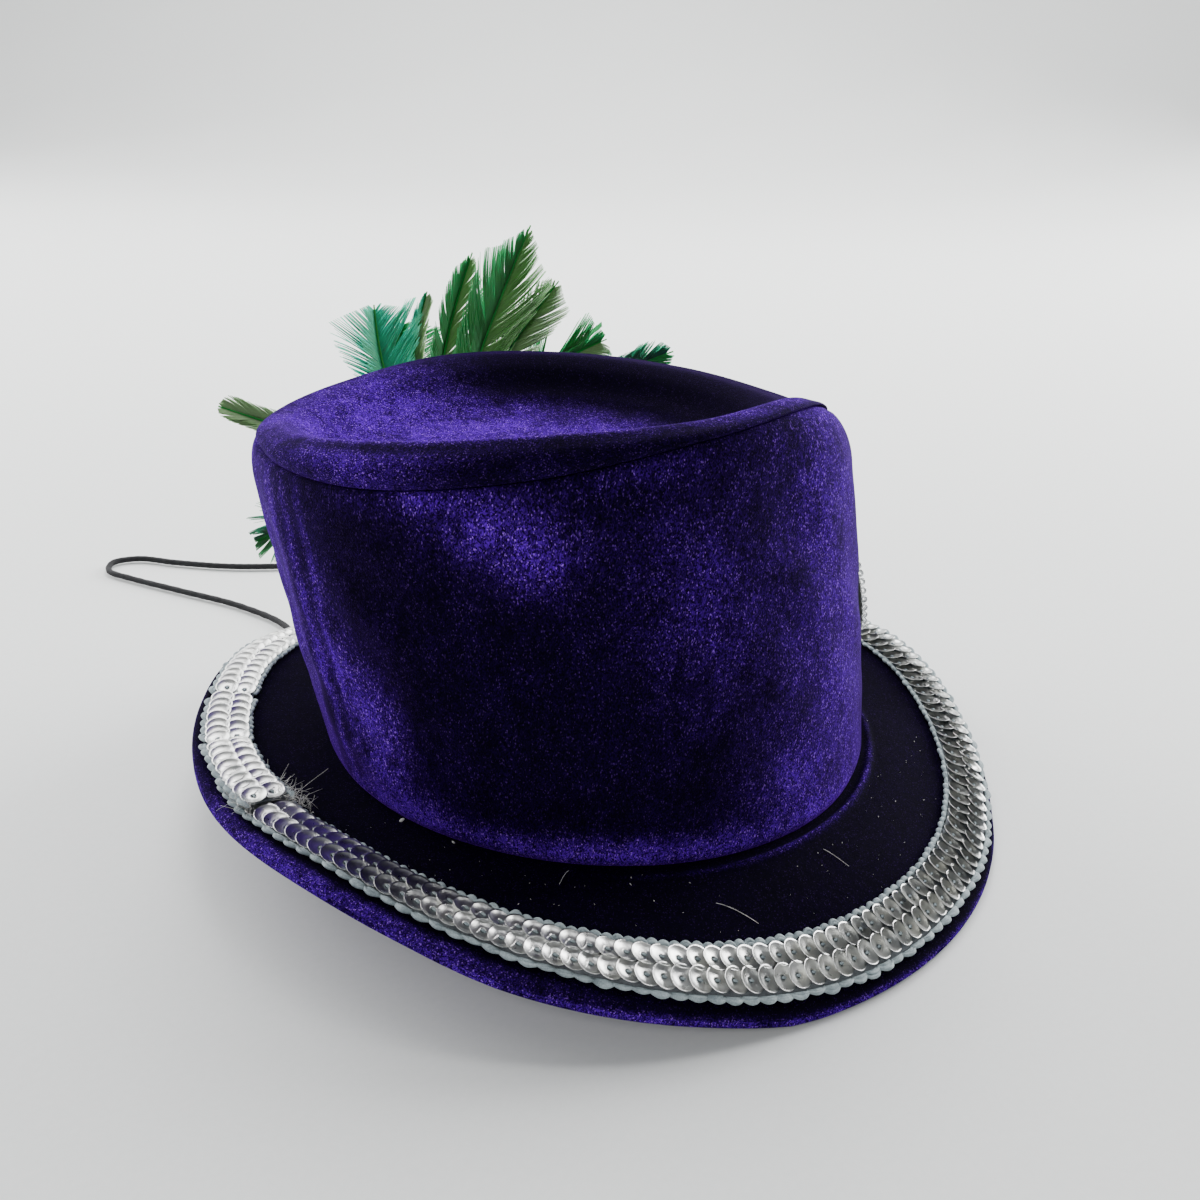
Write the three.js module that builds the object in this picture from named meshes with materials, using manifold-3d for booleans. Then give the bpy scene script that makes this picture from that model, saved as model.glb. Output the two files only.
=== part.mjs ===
// Mini top hat: a soft velvet costume hat with a sunken tip, a curled brim edged with a sequin trim,
// a feather plume with a beaded medallion on one side, and a loop of round elastic.
// Millimetres, +Z up. The origin is on the table under the middle of the brim. -Y is the front of the hat,
// +X its decorated side. Azimuths are degrees from +X towards +Y.
import * as THREE from "three";
import { mergeVertices } from "three/addons/utils/BufferGeometryUtils.js";
import Module from "manifold-3d";

// Driving dimensions
const STATIONS = 72;
const SEAM_GAP = 0.3;
const BRIM = { wall: 3, flattened: 2.2, tuckUnderCrown: 2.3, curlPower: 1.7 };
const CROWN = { wall: 2, baseSide: 53.5, baseEnd: 50.5, topSide: 53.3, topEnd: 51.8 };
const BASE_CENTRE = { x: -0.9, y: 0.5 };
const TOP_CENTRE = { x: -10.7, y: 6.2 };
const SIDE = { bulge: 0.7, shoulderStart: 0.88 };
const TIP = { wall: 1.8, floor: 65 };
const TRIM = { width: 8, joint: 180, overlap: 10, lift: 1.9 };
const MEDALLION = { azimuth: -19, height: 38, radius: 9 };
const PLUME = { azimuth: 94, height: 44, padAcross: 9, padUp: 12, padDepth: 4 };
const FEATHER = { thickness: 1.3, steps: 9 };
const ELASTIC = { diameter: 1.6, steps: 80, sides: 8 };

// Brim edge round the hat: how far it reaches from the middle, the height that its middle line tends to, and
// the margin of velvet left outside the trim. It rests on the table at the front and the back, where that
// height is too low, and curls up at both sides.
const BRIM_EDGE = [
  { azimuth: 0, reach: 79, height: 11, margin: 2.2 },
  { azimuth: 25, reach: 79, height: 9, margin: 2.5 },
  { azimuth: 45, reach: 79, height: 4, margin: 2.5 },
  { azimuth: 62, reach: 79, height: -0.6, margin: 2.5 },
  { azimuth: 85, reach: 77.6, height: -1, margin: 2.5 },
  { azimuth: 105, reach: 79, height: -0.2, margin: 2.5 },
  { azimuth: 120, reach: 82, height: 6.5, margin: 2.5 },
  { azimuth: 135, reach: 82.5, height: 11.5, margin: 2.5 },
  { azimuth: 155, reach: 80, height: 14, margin: 2.5 },
  { azimuth: 180, reach: 79, height: 15.5, margin: 3 },
  { azimuth: 202, reach: 78.5, height: 18, margin: 5 },
  { azimuth: 216, reach: 78, height: 15.8, margin: 4.6 },
  { azimuth: 230, reach: 78, height: 11.2, margin: 4.2 },
  { azimuth: 252, reach: 77.2, height: 4.5, margin: 2.5 },
  { azimuth: 268, reach: 77.6, height: 0.4, margin: 2.5 },
  { azimuth: 290, reach: 78, height: -1, margin: 2.6 },
  { azimuth: 312, reach: 78, height: -0.6, margin: 1.9 },
  { azimuth: 335, reach: 78, height: 5, margin: 1.8 },
];

// Crown round the hat: height of its foot, of the seam at the top of its side, how far the tip puffs up
// above that seam, and how far the top of the side is drawn in to the seam in a round shoulder.
const CROWN_ROUND = [
  { azimuth: 0, base: 12.5, seam: 73, lip: 0.6, shoulder: 3 },
  { azimuth: 30, base: 12, seam: 73, lip: 0.5, shoulder: 2.6 },
  { azimuth: 60, base: 11, seam: 73.5, lip: 0.5, shoulder: 2.4 },
  { azimuth: 90, base: 11, seam: 73.5, lip: 0.5, shoulder: 2.4 },
  { azimuth: 120, base: 12, seam: 71.5, lip: 0.6, shoulder: 2.4 },
  { azimuth: 150, base: 13.5, seam: 71.5, lip: 1.2, shoulder: 2.4 },
  { azimuth: 180, base: 14.5, seam: 73, lip: 3.6, shoulder: 1.8 },
  { azimuth: 210, base: 14.5, seam: 75, lip: 6.2, shoulder: 0.7 },
  { azimuth: 240, base: 13.5, seam: 79.5, lip: 5.4, shoulder: 0.6 },
  { azimuth: 270, base: 12, seam: 84.5, lip: 1.7, shoulder: 0.9 },
  { azimuth: 300, base: 11, seam: 84.5, lip: 0.8, shoulder: 3 },
  { azimuth: 330, base: 11.5, seam: 76.5, lip: 0.5, shoulder: 4.2 },
];

// Soft dents and folds of the side wall: middle, half widths and depth. A negative depth stands out.
const WALL_FOLDS = [
  { azimuth: 238, rise: 0.62, across: 26, up: 0.3, depth: 1.6 },
  { azimuth: 176, rise: 0.55, across: 7, up: 0.5, depth: 0.8 },
  { azimuth: 188, rise: 0.5, across: 6, up: 0.5, depth: -0.7 },
  { azimuth: 285, rise: 0.8, across: 14, up: 0.2, depth: 0.8 },
  { azimuth: 205, rise: 0.15, across: 20, up: 0.15, depth: -0.8 },
];

// Tip from the seam inwards: inset from the seam's outline, overhang as a share of the lip, share of the
// lip's height, share of the sunken floor.
const TIP_PROFILE = [
  { inset: 0, overhang: 0, lip: 0, sunk: 0 },
  { inset: 0, overhang: 0.12, lip: 0.4, sunk: 0 },
  { inset: 1.4, overhang: 0, lip: 0.82, sunk: 0 },
  { inset: 4.5, overhang: 0, lip: 1, sunk: 0.01 },
  { inset: 8, overhang: 0, lip: 0.85, sunk: 0.14 },
  { inset: 14, overhang: 0, lip: 0.3, sunk: 0.62 },
  { inset: 23, overhang: 0, lip: 0.05, sunk: 0.92 },
  { inset: 36, overhang: 0, lip: 0, sunk: 0.98 },
];

// Two rows of sequins side by side: place across the band and height of its top there.
const TRIM_SECTION = [
  { across: 0, top: 0.5 },
  { across: 0.12, top: 1.1 },
  { across: 0.3, top: 1.4 },
  { across: 0.5, top: 1 },
  { across: 0.7, top: 1.4 },
  { across: 0.88, top: 1.1 },
  { across: 1, top: 0.5 },
];

// Medallion from its middle outwards: share of its radius and height of its beaded face.
const MEDALLION_SECTION = [
  { share: 0.25, depth: 2.4 },
  { share: 0.5, depth: 2.1 },
  { share: 0.74, depth: 1.7 },
  { share: 0.84, depth: 2.2 },
  { share: 0.95, depth: 2.2 },
  { share: 1, depth: 1.2 },
];

// Feathers of the plume: where each tip ends (azimuth, reach from the middle of the hat, height),
// how far the blade bows out from the crown, and its width.
const FEATHERS = [
  { azimuth: 78, reach: 66, height: 98, bow: 7, width: 19 },
  { azimuth: 89, reach: 68, height: 92, bow: 9, width: 14 },
  { azimuth: 72, reach: 67, height: 86, bow: 9, width: 12 },
  { azimuth: 107, reach: 73, height: 83, bow: 7, width: 20 },
  { azimuth: 97, reach: 71, height: 85, bow: 11, width: 6 },
  { azimuth: 100, reach: 75, height: 78, bow: 14, width: 12 },
  { azimuth: 62, reach: 70, height: 72, bow: 14, width: 10 },
  { azimuth: 48, reach: 62, height: 73, bow: 8, width: 10 },
  { azimuth: 132, reach: 85, height: 66, bow: 9, width: 10 },
  { azimuth: 130, reach: 82, height: 42, bow: 11, width: 11 },
  { azimuth: 112, reach: 76, height: 26, bow: 9, width: 14 },
  { azimuth: 80, reach: 72, height: 60, bow: 13, width: 16 },
];

// Route of the elastic: out of the crown's foot on one side, back over the table in a long narrow loop,
// and in again on the other side.
const ELASTIC_ROUTE = [
  { x: -51.1, y: 4, z: 16.4 },
  { x: -49.2, y: 5.5, z: 13.6 },
  { x: -47, y: 12, z: 6.5 },
  { x: -46.5, y: 22, z: 2 },
  { x: -46, y: 34, z: 0.9 },
  { x: -45, y: 50, z: 0.9 },
  { x: -42.5, y: 70, z: 0.9 },
  { x: -41, y: 88, z: 0.9 },
  { x: -48, y: 104, z: 0.9 },
  { x: -60, y: 120, z: 0.9 },
  { x: -70, y: 133, z: 0.9 },
  { x: -74.5, y: 140.5, z: 0.9 },
  { x: -72.5, y: 146, z: 0.9 },
  { x: -66, y: 146, z: 0.9 },
  { x: -57, y: 139, z: 0.9 },
  { x: -45, y: 131, z: 0.9 },
  { x: -31, y: 125, z: 0.9 },
  { x: -10, y: 118, z: 0.9 },
  { x: 14, y: 110, z: 0.9 },
  { x: 38, y: 99, z: 0.9 },
  { x: 58, y: 81, z: 0.9 },
  { x: 67, y: 60, z: 0.9 },
  { x: 65, y: 40, z: 0.9 },
  { x: 57, y: 26, z: 1.6 },
  { x: 49.5, y: 13, z: 6.5 },
  { x: 47.8, y: 6, z: 12 },
  { x: 49.4, y: 4, z: 14.6 },
];

const wasm = await Module();
wasm.setup();

// A column of a table round the hat, read at any azimuth by a smooth closed curve through its rows.
function around(table, column, azimuth) {
  const turn = 360;
  const angle = ((azimuth % turn) + turn) % turn;
  const count = table.length;
  const row = (i) => table[((i % count) + count) % count];
  let next = table.findIndex((entry) => entry.azimuth > angle);
  if (next < 0) next = count;
  const at = next - 1;
  const step = (i) => {
    const width = row(i + 1).azimuth - row(i).azimuth;
    return width > 0 ? width : width + turn;
  };
  const slope = (i) => (row(i + 1)[column] - row(i - 1)[column]) / (step(i) + step(i - 1));
  const length = step(at);
  const u = (angle - row(at).azimuth) / length;
  const start = row(at)[column];
  const end = row(at + 1)[column];
  return start * (1 + 2 * u) * (1 - u) ** 2 + slope(at) * length * u * (1 - u) ** 2
    + end * u * u * (3 - 2 * u) - slope(at + 1) * length * u * u * (1 - u);
}

const radians = THREE.MathUtils.degToRad;
const lerp = THREE.MathUtils.lerp;
const smooth = THREE.MathUtils.smoothstep;
const bump = (distance) => Math.exp(-2 * distance * distance);

function turnBetween(a, b) {
  return Math.abs(((a - b + 540) % 360) - 180);
}

function outward(azimuth) {
  return new THREE.Vector3(Math.cos(radians(azimuth)), Math.sin(radians(azimuth)), 0);
}

// Outer face of the crown's side, or a face inset from it. rise runs from 0 at the brim to 1 at the seam.
function sideWall(azimuth, rise, inset = 0) {
  const away = outward(azimuth);
  let swell = SIDE.bulge * Math.sin(Math.PI * rise);
  const turned = THREE.MathUtils.clamp((rise - SIDE.shoulderStart) / (1 - SIDE.shoulderStart), 0, 1);
  swell -= around(CROWN_ROUND, "shoulder", azimuth) * (1 - Math.sqrt(1 - turned * turned));
  for (const fold of WALL_FOLDS) {
    const across = turnBetween(azimuth, fold.azimuth) / fold.across;
    swell -= fold.depth * bump(across) * bump((rise - fold.rise) / fold.up);
  }
  const out = swell - inset;
  const acrossSide = lerp(CROWN.baseSide, CROWN.topSide, rise) + out;
  const acrossEnd = lerp(CROWN.baseEnd, CROWN.topEnd, rise) + out;
  const x = away.x * acrossSide + lerp(BASE_CENTRE.x, TOP_CENTRE.x, rise);
  const y = away.y * acrossEnd + lerp(BASE_CENTRE.y, TOP_CENTRE.y, rise);
  const foot = around(CROWN_ROUND, "base", azimuth) + SEAM_GAP;
  const z = lerp(foot, around(CROWN_ROUND, "seam", azimuth), rise);
  return new THREE.Vector3(x, y, z);
}

// A point just outside the side wall at a height, standing off by some distance.
function onSide(azimuth, height, standoff) {
  const foot = around(CROWN_ROUND, "base", azimuth);
  const rise = (height - foot) / (around(CROWN_ROUND, "seam", azimuth) - foot);
  const point = sideWall(azimuth, THREE.MathUtils.clamp(rise, 0, 1), -standoff);
  point.z = height;
  return point;
}

// Middle of the brim's wall, from 0 at its inner edge under the crown to 1 at the curled edge.
function brimMiddle(azimuth, share) {
  const away = outward(azimuth);
  const reach = around(BRIM_EDGE, "reach", azimuth);
  const innerX = away.x * (CROWN.baseSide - BRIM.tuckUnderCrown) + BASE_CENTRE.x;
  const innerY = away.y * (CROWN.baseEnd - BRIM.tuckUnderCrown) + BASE_CENTRE.y;
  const x = lerp(innerX, away.x * reach, share);
  const y = lerp(innerY, away.y * reach, share);
  const high = around(CROWN_ROUND, "base", azimuth) - BRIM.wall / 2;
  const z = lerp(high, around(BRIM_EDGE, "height", azimuth), share ** BRIM.curlPower);
  return new THREE.Vector3(x, y, z);
}

// A closed solid from closed sections, one for each station round the hat; an open strip gets end caps.
function loft(sections, closed) {
  const points = sections.flat();
  const size = sections[0].length;
  const index = [];
  const last = closed ? sections.length : sections.length - 1;
  for (let i = 0; i < last; i += 1) {
    for (let j = 0; j < size; j += 1) {
      const a = i * size + j;
      const b = i * size + ((j + 1) % size);
      const c = ((i + 1) % sections.length) * size + j;
      const d = ((i + 1) % sections.length) * size + ((j + 1) % size);
      index.push(a, c, b, b, c, d);
    }
  }
  if (!closed) {
    const end = (sections.length - 1) * size;
    for (let j = 1; j < size - 1; j += 1) {
      index.push(0, j, j + 1, end, end + j + 1, end + j);
    }
  }
  return solid(points, index);
}

// A closed solid from rings that run from one pole to the other, such as a disc's two faces.
function poles(first, rings, last) {
  const points = [first, ...rings.flat(), last];
  const size = rings[0].length;
  const index = [];
  const bottom = points.length - 1;
  for (let j = 0; j < size; j += 1) {
    const k = (j + 1) % size;
    index.push(0, 1 + j, 1 + k);
    for (let i = 0; i < rings.length - 1; i += 1) {
      const a = 1 + i * size;
      const b = a + size;
      index.push(a + j, b + j, a + k, a + k, b + j, b + k);
    }
    const end = 1 + (rings.length - 1) * size;
    index.push(bottom, end + k, end + j);
  }
  return solid(points, index);
}

// A geometry whose faces point outwards.
function solid(points, index) {
  let volume = 0;
  const cross = new THREE.Vector3();
  for (let i = 0; i < index.length; i += 3) {
    const [a, b, c] = [points[index[i]], points[index[i + 1]], points[index[i + 2]]];
    volume += a.dot(cross.crossVectors(b, c));
  }
  if (volume < 0) index.reverse();
  const geometry = new THREE.BufferGeometry();
  geometry.setFromPoints(points);
  geometry.setIndex(index);
  return geometry;
}

function stationAzimuths(count) {
  return Array.from({ length: count }, (_, i) => (i * 360) / count);
}

// Crown side: the velvet wall, open below, its top edge under the tip.
function crownSide() {
  const rises = [0, 0.08, 0.24, 0.4, 0.56, 0.72, 0.86, 0.92, 0.96, 0.985, 1];
  const innerRises = [1, 0.97, 0.9, 0.6, 0.3, 0];
  const sections = stationAzimuths(STATIONS).map((azimuth) => [
    ...rises.map((rise) => sideWall(azimuth, rise)),
    ...innerRises.map((rise) => sideWall(azimuth, rise, CROWN.wall)),
  ]);
  return loft(sections, true);
}

// A ring of the tip, inset from the seam; under is how far below the upper face it lies.
function tipRing(row, under, trimBack) {
  return stationAzimuths(STATIONS).map((azimuth) => {
    const radius = (CROWN.topSide + CROWN.topEnd) / 2;
    const seam = sideWall(azimuth, 1, 0);
    const middle = new THREE.Vector3(TOP_CENTRE.x, TOP_CENTRE.y, seam.z);
    const lip = around(CROWN_ROUND, "lip", azimuth);
    const inset = row.inset - row.overhang * lip + trimBack;
    const point = middle.clone().lerp(seam, 1 - inset / radius);
    point.z = lerp(seam.z + SEAM_GAP + row.lip * lip, TIP.floor, row.sunk) - under;
    return point;
  });
}

// Crown tip: the oval top, sewn to the side, puffed along its seam and sunken in the middle.
function crownTip() {
  const upper = TIP_PROFILE.map((row) => tipRing(row, 0, 0));
  const edge = tipRing(TIP_PROFILE[0], 0, TIP.wall);
  const lower = TIP_PROFILE.slice(3).map((row) => tipRing(row, TIP.wall, TIP.wall / 2));
  const middle = new THREE.Vector3(TOP_CENTRE.x, TOP_CENTRE.y, TIP.floor);
  const below = middle.clone().setZ(TIP.floor - TIP.wall);
  return poles(below, [...lower.reverse(), edge, ...upper], middle);
}

// Brim: a padded velvet ring whose edge is rounded, flattened where it lies on the table.
function brim() {
  const half = BRIM.wall / 2;
  const shares = [0, 0.09, 0.3, 0.55, 0.78, 0.87, 0.93];
  const bend = 0.985;
  const sections = stationAzimuths(STATIONS).map((azimuth) => {
    const level = (share, up, lowest) => {
      const point = brimMiddle(azimuth, share);
      return point.setZ(Math.max(point.z + up, lowest));
    };
    const upper = shares.map((share) => level(share, half, BRIM.flattened));
    const rim = [
      level(bend, half * 0.75, BRIM.flattened * 0.88),
      level(1, 0, BRIM.flattened / 2),
      level(bend, -half * 0.75, BRIM.flattened * 0.12),
    ];
    const lower = [...shares].reverse().map((share) => level(share, -half, 0));
    return [...upper, ...rim, ...lower];
  });
  return loft(sections, true);
}

// Sequin trim: a band in two rows laid on the brim, its end lapped over its start.
function sequinTrim() {
  const step = 360 / STATIONS;
  const sections = [];
  for (let turn = 0; turn <= 360 + TRIM.overlap; turn += step) {
    const azimuth = TRIM.joint + turn;
    const lapped = smooth(turn, 360 - 3 * step, 360 - step) * TRIM.lift;
    const span = brimMiddle(azimuth, 1).setZ(0).distanceTo(brimMiddle(azimuth, 0).setZ(0));
    const margin = around(BRIM_EDGE, "margin", azimuth);
    const place = (across, up) => {
      const share = 1 - (margin + across * TRIM.width) / span;
      const point = brimMiddle(azimuth, share);
      point.z = Math.max(point.z + BRIM.wall / 2, BRIM.flattened) + SEAM_GAP + lapped + up;
      return point;
    };
    const top = TRIM_SECTION.map((row) => place(row.across, row.top));
    const bottom = [1, 0.7, 0.3, 0].map((across) => place(across, 0));
    sections.push([...top, ...bottom]);
  }
  return loft(sections, false);
}

// A pad that follows the crown's side: rings from its middle outwards, each with a share and a depth.
function sidePad(azimuth, height, across, up, rows, sides) {
  const radius = (CROWN.baseSide + CROWN.baseEnd) / 2;
  const place = (share, angle, standoff) => {
    const turn = THREE.MathUtils.radToDeg((share * across * Math.cos(angle)) / radius);
    return onSide(azimuth + turn, height + share * up * Math.sin(angle), standoff);
  };
  const angles = Array.from({ length: sides }, (_, i) => (i * 2 * Math.PI) / sides);
  const standoff = SEAM_GAP + 0.1;
  const face = rows.map((row) => angles.map((angle) => place(row.share, angle, standoff + row.depth)));
  const back = [1, 0.75, 0.5, 0.25].map((share) => angles.map((angle) => place(share, angle, standoff)));
  return poles(place(0, 0, standoff + rows[0].depth), [...face, ...back], place(0, 0, standoff));
}

function beadMedallion() {
  const { azimuth, height, radius } = MEDALLION;
  return sidePad(azimuth, height, radius, radius, MEDALLION_SECTION, 24);
}

// One feather: a thin blade from the plume's pad to its tip, widest past its middle.
function featherBlade(feather) {
  const root = onSide(PLUME.azimuth, PLUME.height, PLUME.padDepth * 0.55);
  const tip = outward(feather.azimuth).multiplyScalar(feather.reach).setZ(feather.height);
  const halfway = (PLUME.azimuth + feather.azimuth) / 2;
  const middle = onSide(halfway, (PLUME.height + Math.min(feather.height, 70)) / 2, 2 * feather.bow);
  const spine = new THREE.QuadraticBezierCurve3(root, middle, tip);
  const sections = [];
  for (let i = 0; i < FEATHER.steps; i += 1) {
    const along = 0.02 + (0.96 * i) / (FEATHER.steps - 1);
    const point = spine.getPoint(along);
    const tangent = spine.getTangent(along);
    const facing = new THREE.Vector3(point.x - TOP_CENTRE.x / 2, point.y, 0).normalize();
    const side = new THREE.Vector3().crossVectors(tangent, facing).normalize();
    const depth = new THREE.Vector3().crossVectors(side, tangent).normalize();
    const half = (feather.width / 2) * Math.max(0.12, Math.sin(Math.PI * along ** 1.35) ** 0.8);
    const thick = FEATHER.thickness / 2;
    sections.push([
      point.clone().addScaledVector(side, half),
      point.clone().addScaledVector(depth, thick),
      point.clone().addScaledVector(side, -half),
      point.clone().addScaledVector(depth, -thick),
    ]);
  }
  return loft(sections, false);
}

function toManifold(geometry) {
  const merged = mergeVertices(geometry);
  const vertProperties = Float32Array.from(merged.attributes.position.array);
  const triVerts = Uint32Array.from(merged.index.array);
  return new wasm.Manifold(new wasm.Mesh({ numProp: 3, vertProperties, triVerts }));
}

function fromManifold(shape) {
  const mesh = shape.getMesh();
  const geometry = new THREE.BufferGeometry();
  geometry.setAttribute("position", new THREE.BufferAttribute(mesh.vertProperties, 3));
  geometry.setIndex(Array.from(mesh.triVerts));
  return geometry;
}

// Feather plume: the blades fused to a small sewn pad on the crown's side.
function featherPlume() {
  const padHeight = (share) => PLUME.padDepth * (1 - 0.45 * share * share);
  const rows = [0.35, 0.7, 1].map((share) => ({ share, depth: padHeight(share) }));
  const pad = sidePad(PLUME.azimuth, PLUME.height, PLUME.padAcross, PLUME.padUp, rows, 16);
  let plume = toManifold(pad);
  for (const feather of FEATHERS) {
    plume = plume.add(toManifold(featherBlade(feather)));
  }
  return fromManifold(plume);
}

// Elastic: a round cord along its route.
function elasticLoop() {
  const route = new THREE.CatmullRomCurve3(ELASTIC_ROUTE.map((p) => new THREE.Vector3(p.x, p.y, p.z)));
  const section = new THREE.Shape();
  for (let i = 0; i < ELASTIC.sides; i += 1) {
    const angle = (i * 2 * Math.PI) / ELASTIC.sides;
    const [x, y] = [Math.cos(angle), Math.sin(angle)].map((value) => (value * ELASTIC.diameter) / 2);
    if (i === 0) section.moveTo(x, y);
    else section.lineTo(x, y);
  }
  section.closePath();
  const along = { steps: ELASTIC.steps, extrudePath: route, bevelEnabled: false };
  return new THREE.ExtrudeGeometry(section, along);
}

const FINISH = {
  velvet: { color: 0x1d0a4f, roughness: 0.85, metalness: 0 },
  sequins: { color: 0xb9bcc0, roughness: 0.28, metalness: 0.9 },
  feather: { color: 0x1f6b45, roughness: 0.7, metalness: 0 },
  beads: { color: 0x0d0d10, roughness: 0.25, metalness: 0 },
  elastic: { color: 0x121214, roughness: 0.8, metalness: 0 },
};

const hat = new THREE.Group();

function addPiece(name, geometry, finish) {
  const mesh = new THREE.Mesh(geometry, new THREE.MeshStandardMaterial(FINISH[finish]));
  mesh.name = name;
  hat.add(mesh);
}

addPiece("brim", brim(), "velvet");
addPiece("crown_side", crownSide(), "velvet");
addPiece("crown_tip", crownTip(), "velvet");
addPiece("sequin_trim", sequinTrim(), "sequins");
addPiece("feather_plume", featherPlume(), "feather");
addPiece("bead_medallion", beadMedallion(), "beads");
addPiece("elastic_loop", elasticLoop(), "elastic");

export default hat;
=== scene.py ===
# Mini top hat: a soft velvet costume hat with a sequin trim, a feather plume, a beaded medallion and
# a loop of elastic. Metres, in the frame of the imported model: +Z up, -Y the front, +X the decorated side.
# Azimuths are degrees from +X towards +Y.
import math

import bmesh
import bpy
import numpy as np
from mathutils import Matrix, Vector


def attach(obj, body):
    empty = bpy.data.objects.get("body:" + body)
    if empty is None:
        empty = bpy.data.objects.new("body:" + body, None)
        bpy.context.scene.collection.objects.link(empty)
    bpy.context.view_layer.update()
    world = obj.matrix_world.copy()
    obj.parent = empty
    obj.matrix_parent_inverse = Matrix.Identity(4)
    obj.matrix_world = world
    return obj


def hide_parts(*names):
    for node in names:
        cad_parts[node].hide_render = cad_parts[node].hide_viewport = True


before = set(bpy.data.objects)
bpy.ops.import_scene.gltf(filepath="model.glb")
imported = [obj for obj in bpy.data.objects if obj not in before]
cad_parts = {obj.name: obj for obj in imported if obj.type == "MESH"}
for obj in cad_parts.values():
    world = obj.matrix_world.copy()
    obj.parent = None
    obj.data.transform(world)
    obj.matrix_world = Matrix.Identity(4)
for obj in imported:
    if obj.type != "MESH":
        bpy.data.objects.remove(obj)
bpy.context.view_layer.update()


# Viewpoint: the hat is seen from a little above its brim, from the front and turned towards its plain side.
# The lens takes in the whole brim with room around it.
VIEW_TURN = math.radians(-30)
VIEW_DROP = math.radians(25)
VIEW_ROLL = math.radians(-2.5)
VIEW_DISTANCE = 0.232
VIEW_AIM = Vector((-0.0017, 0.001, 0.038))
LENS_MM = 36
SENSOR_MM = 36
NEAREST_SEEN = 0.01

right = Vector((math.cos(VIEW_TURN), math.sin(VIEW_TURN), 0))
level = Vector((-math.sin(VIEW_TURN), math.cos(VIEW_TURN), 0))
ahead = level * math.cos(VIEW_DROP) - Vector((0, 0, math.sin(VIEW_DROP)))
upright = right.cross(ahead)
rolled_right = right * math.cos(VIEW_ROLL) - upright * math.sin(VIEW_ROLL)
rolled_up = right * math.sin(VIEW_ROLL) + upright * math.cos(VIEW_ROLL)
camera = bpy.data.objects.new("camera", bpy.data.cameras.new("camera"))
camera.data.lens = LENS_MM
camera.data.sensor_width = SENSOR_MM
camera.data.clip_start = NEAREST_SEEN
facing = Matrix((rolled_right, rolled_up, -ahead)).transposed().to_4x4()
camera.matrix_world = Matrix.Translation(VIEW_AIM - ahead * VIEW_DISTANCE) @ facing
bpy.context.scene.collection.objects.link(camera)
bpy.context.scene.camera = camera


# Elastic loop: a thin round cord of black braided elastic, sewn into the foot of the crown on both sides
# and lying loose behind the hat. The crossing yarns of the braid are raised in the cord's own section.
ELASTIC_DIAMETER = 0.0016
BRAID = {"sides": 16, "span_points": 40, "step": 0.00045, "yarns": 4, "twist": 1500, "relief": 0.13}
ELASTIC_ROUTE = [
    (-0.0511, 0.004, 0.0164), (-0.0492, 0.0055, 0.0136), (-0.047, 0.012, 0.0065), (-0.0465, 0.022, 0.002),
    (-0.046, 0.034, 0.0009), (-0.045, 0.05, 0.0009), (-0.0425, 0.07, 0.0009), (-0.041, 0.088, 0.0009),
    (-0.048, 0.104, 0.0009), (-0.06, 0.12, 0.0009), (-0.07, 0.133, 0.0009), (-0.0745, 0.1405, 0.0009),
    (-0.0725, 0.146, 0.0009), (-0.066, 0.146, 0.0009), (-0.057, 0.139, 0.0009), (-0.045, 0.131, 0.0009),
    (-0.031, 0.125, 0.0009), (-0.01, 0.118, 0.0009), (0.014, 0.11, 0.0009), (0.038, 0.099, 0.0009),
    (0.058, 0.081, 0.0009), (0.067, 0.06, 0.0009), (0.065, 0.04, 0.0009), (0.057, 0.026, 0.0016),
    (0.0495, 0.013, 0.0065), (0.0478, 0.006, 0.012), (0.0494, 0.004, 0.0146),
]


def smooth_line(points, per_span):
    """A smooth curve through points of any number of columns, which makes no loops between close points."""
    points = np.asarray(points, float)
    ends = np.vstack([2 * points[0] - points[1], points, 2 * points[-1] - points[-2]])
    u = np.linspace(0, 1, per_span, endpoint=False)[:, None]
    spans = []
    for before, start, end, after in zip(ends, ends[1:], ends[2:], ends[3:]):
        t0, t1, t2 = (np.linalg.norm(q - p) ** 0.5 for p, q in ((before, start), (start, end), (end, after)))
        leave = t1 * ((start - before) / t0 - (end - before) / (t0 + t1) + (end - start) / t1)
        arrive = t1 * ((end - start) / t1 - (after - start) / (t1 + t2) + (after - end) / t2)
        spans.append(
            start * (1 + 2 * u) * (1 - u) ** 2 + leave * u * (1 - u) ** 2
            + end * u * u * (3 - 2 * u) - arrive * u * u * (1 - u)
        )
    return np.vstack(spans + [points[-1:]])


def run_along(line):
    """Distance from the start of a line at each of its points."""
    return np.concatenate([[0], np.cumsum(np.linalg.norm(np.diff(line, axis=0), axis=1))])


def even_steps(line, step):
    """The same line with its points a fixed step apart."""
    run = run_along(line)
    marks = np.linspace(0, run[-1], max(2, round(run[-1] / step) + 1))
    return np.stack([np.interp(marks, run, column) for column in line.T], axis=1)


def unit(vectors):
    return vectors / np.maximum(np.linalg.norm(vectors, axis=-1, keepdims=True), 1e-12)


def full_turn(count):
    """Angles that share out a full turn."""
    return np.arange(count) * 2 * math.pi / count


def grid_faces(rows, columns, rows_close=False, columns_close=True):
    """Quads of a grid of points, closed round in either direction."""
    i = np.arange(rows if rows_close else rows - 1)[:, None]
    j = np.arange(columns if columns_close else columns - 1)[None]
    nexti = (i + 1) % rows
    nextj = (j + 1) % columns
    corners = [i * columns + j, nexti * columns + j, nexti * columns + nextj, i * columns + nextj]
    return np.stack([np.broadcast_to(c, (i.size, j.size)) for c in corners], axis=-1).reshape(-1, 4).tolist()


def tube_faces(rings, sides):
    """Faces of a tube of rings of points, with a flat face on each end."""
    ends = [list(range(sides))[::-1], list(range((rings - 1) * sides, rings * sides))]
    return grid_faces(rings, sides) + ends


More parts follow.
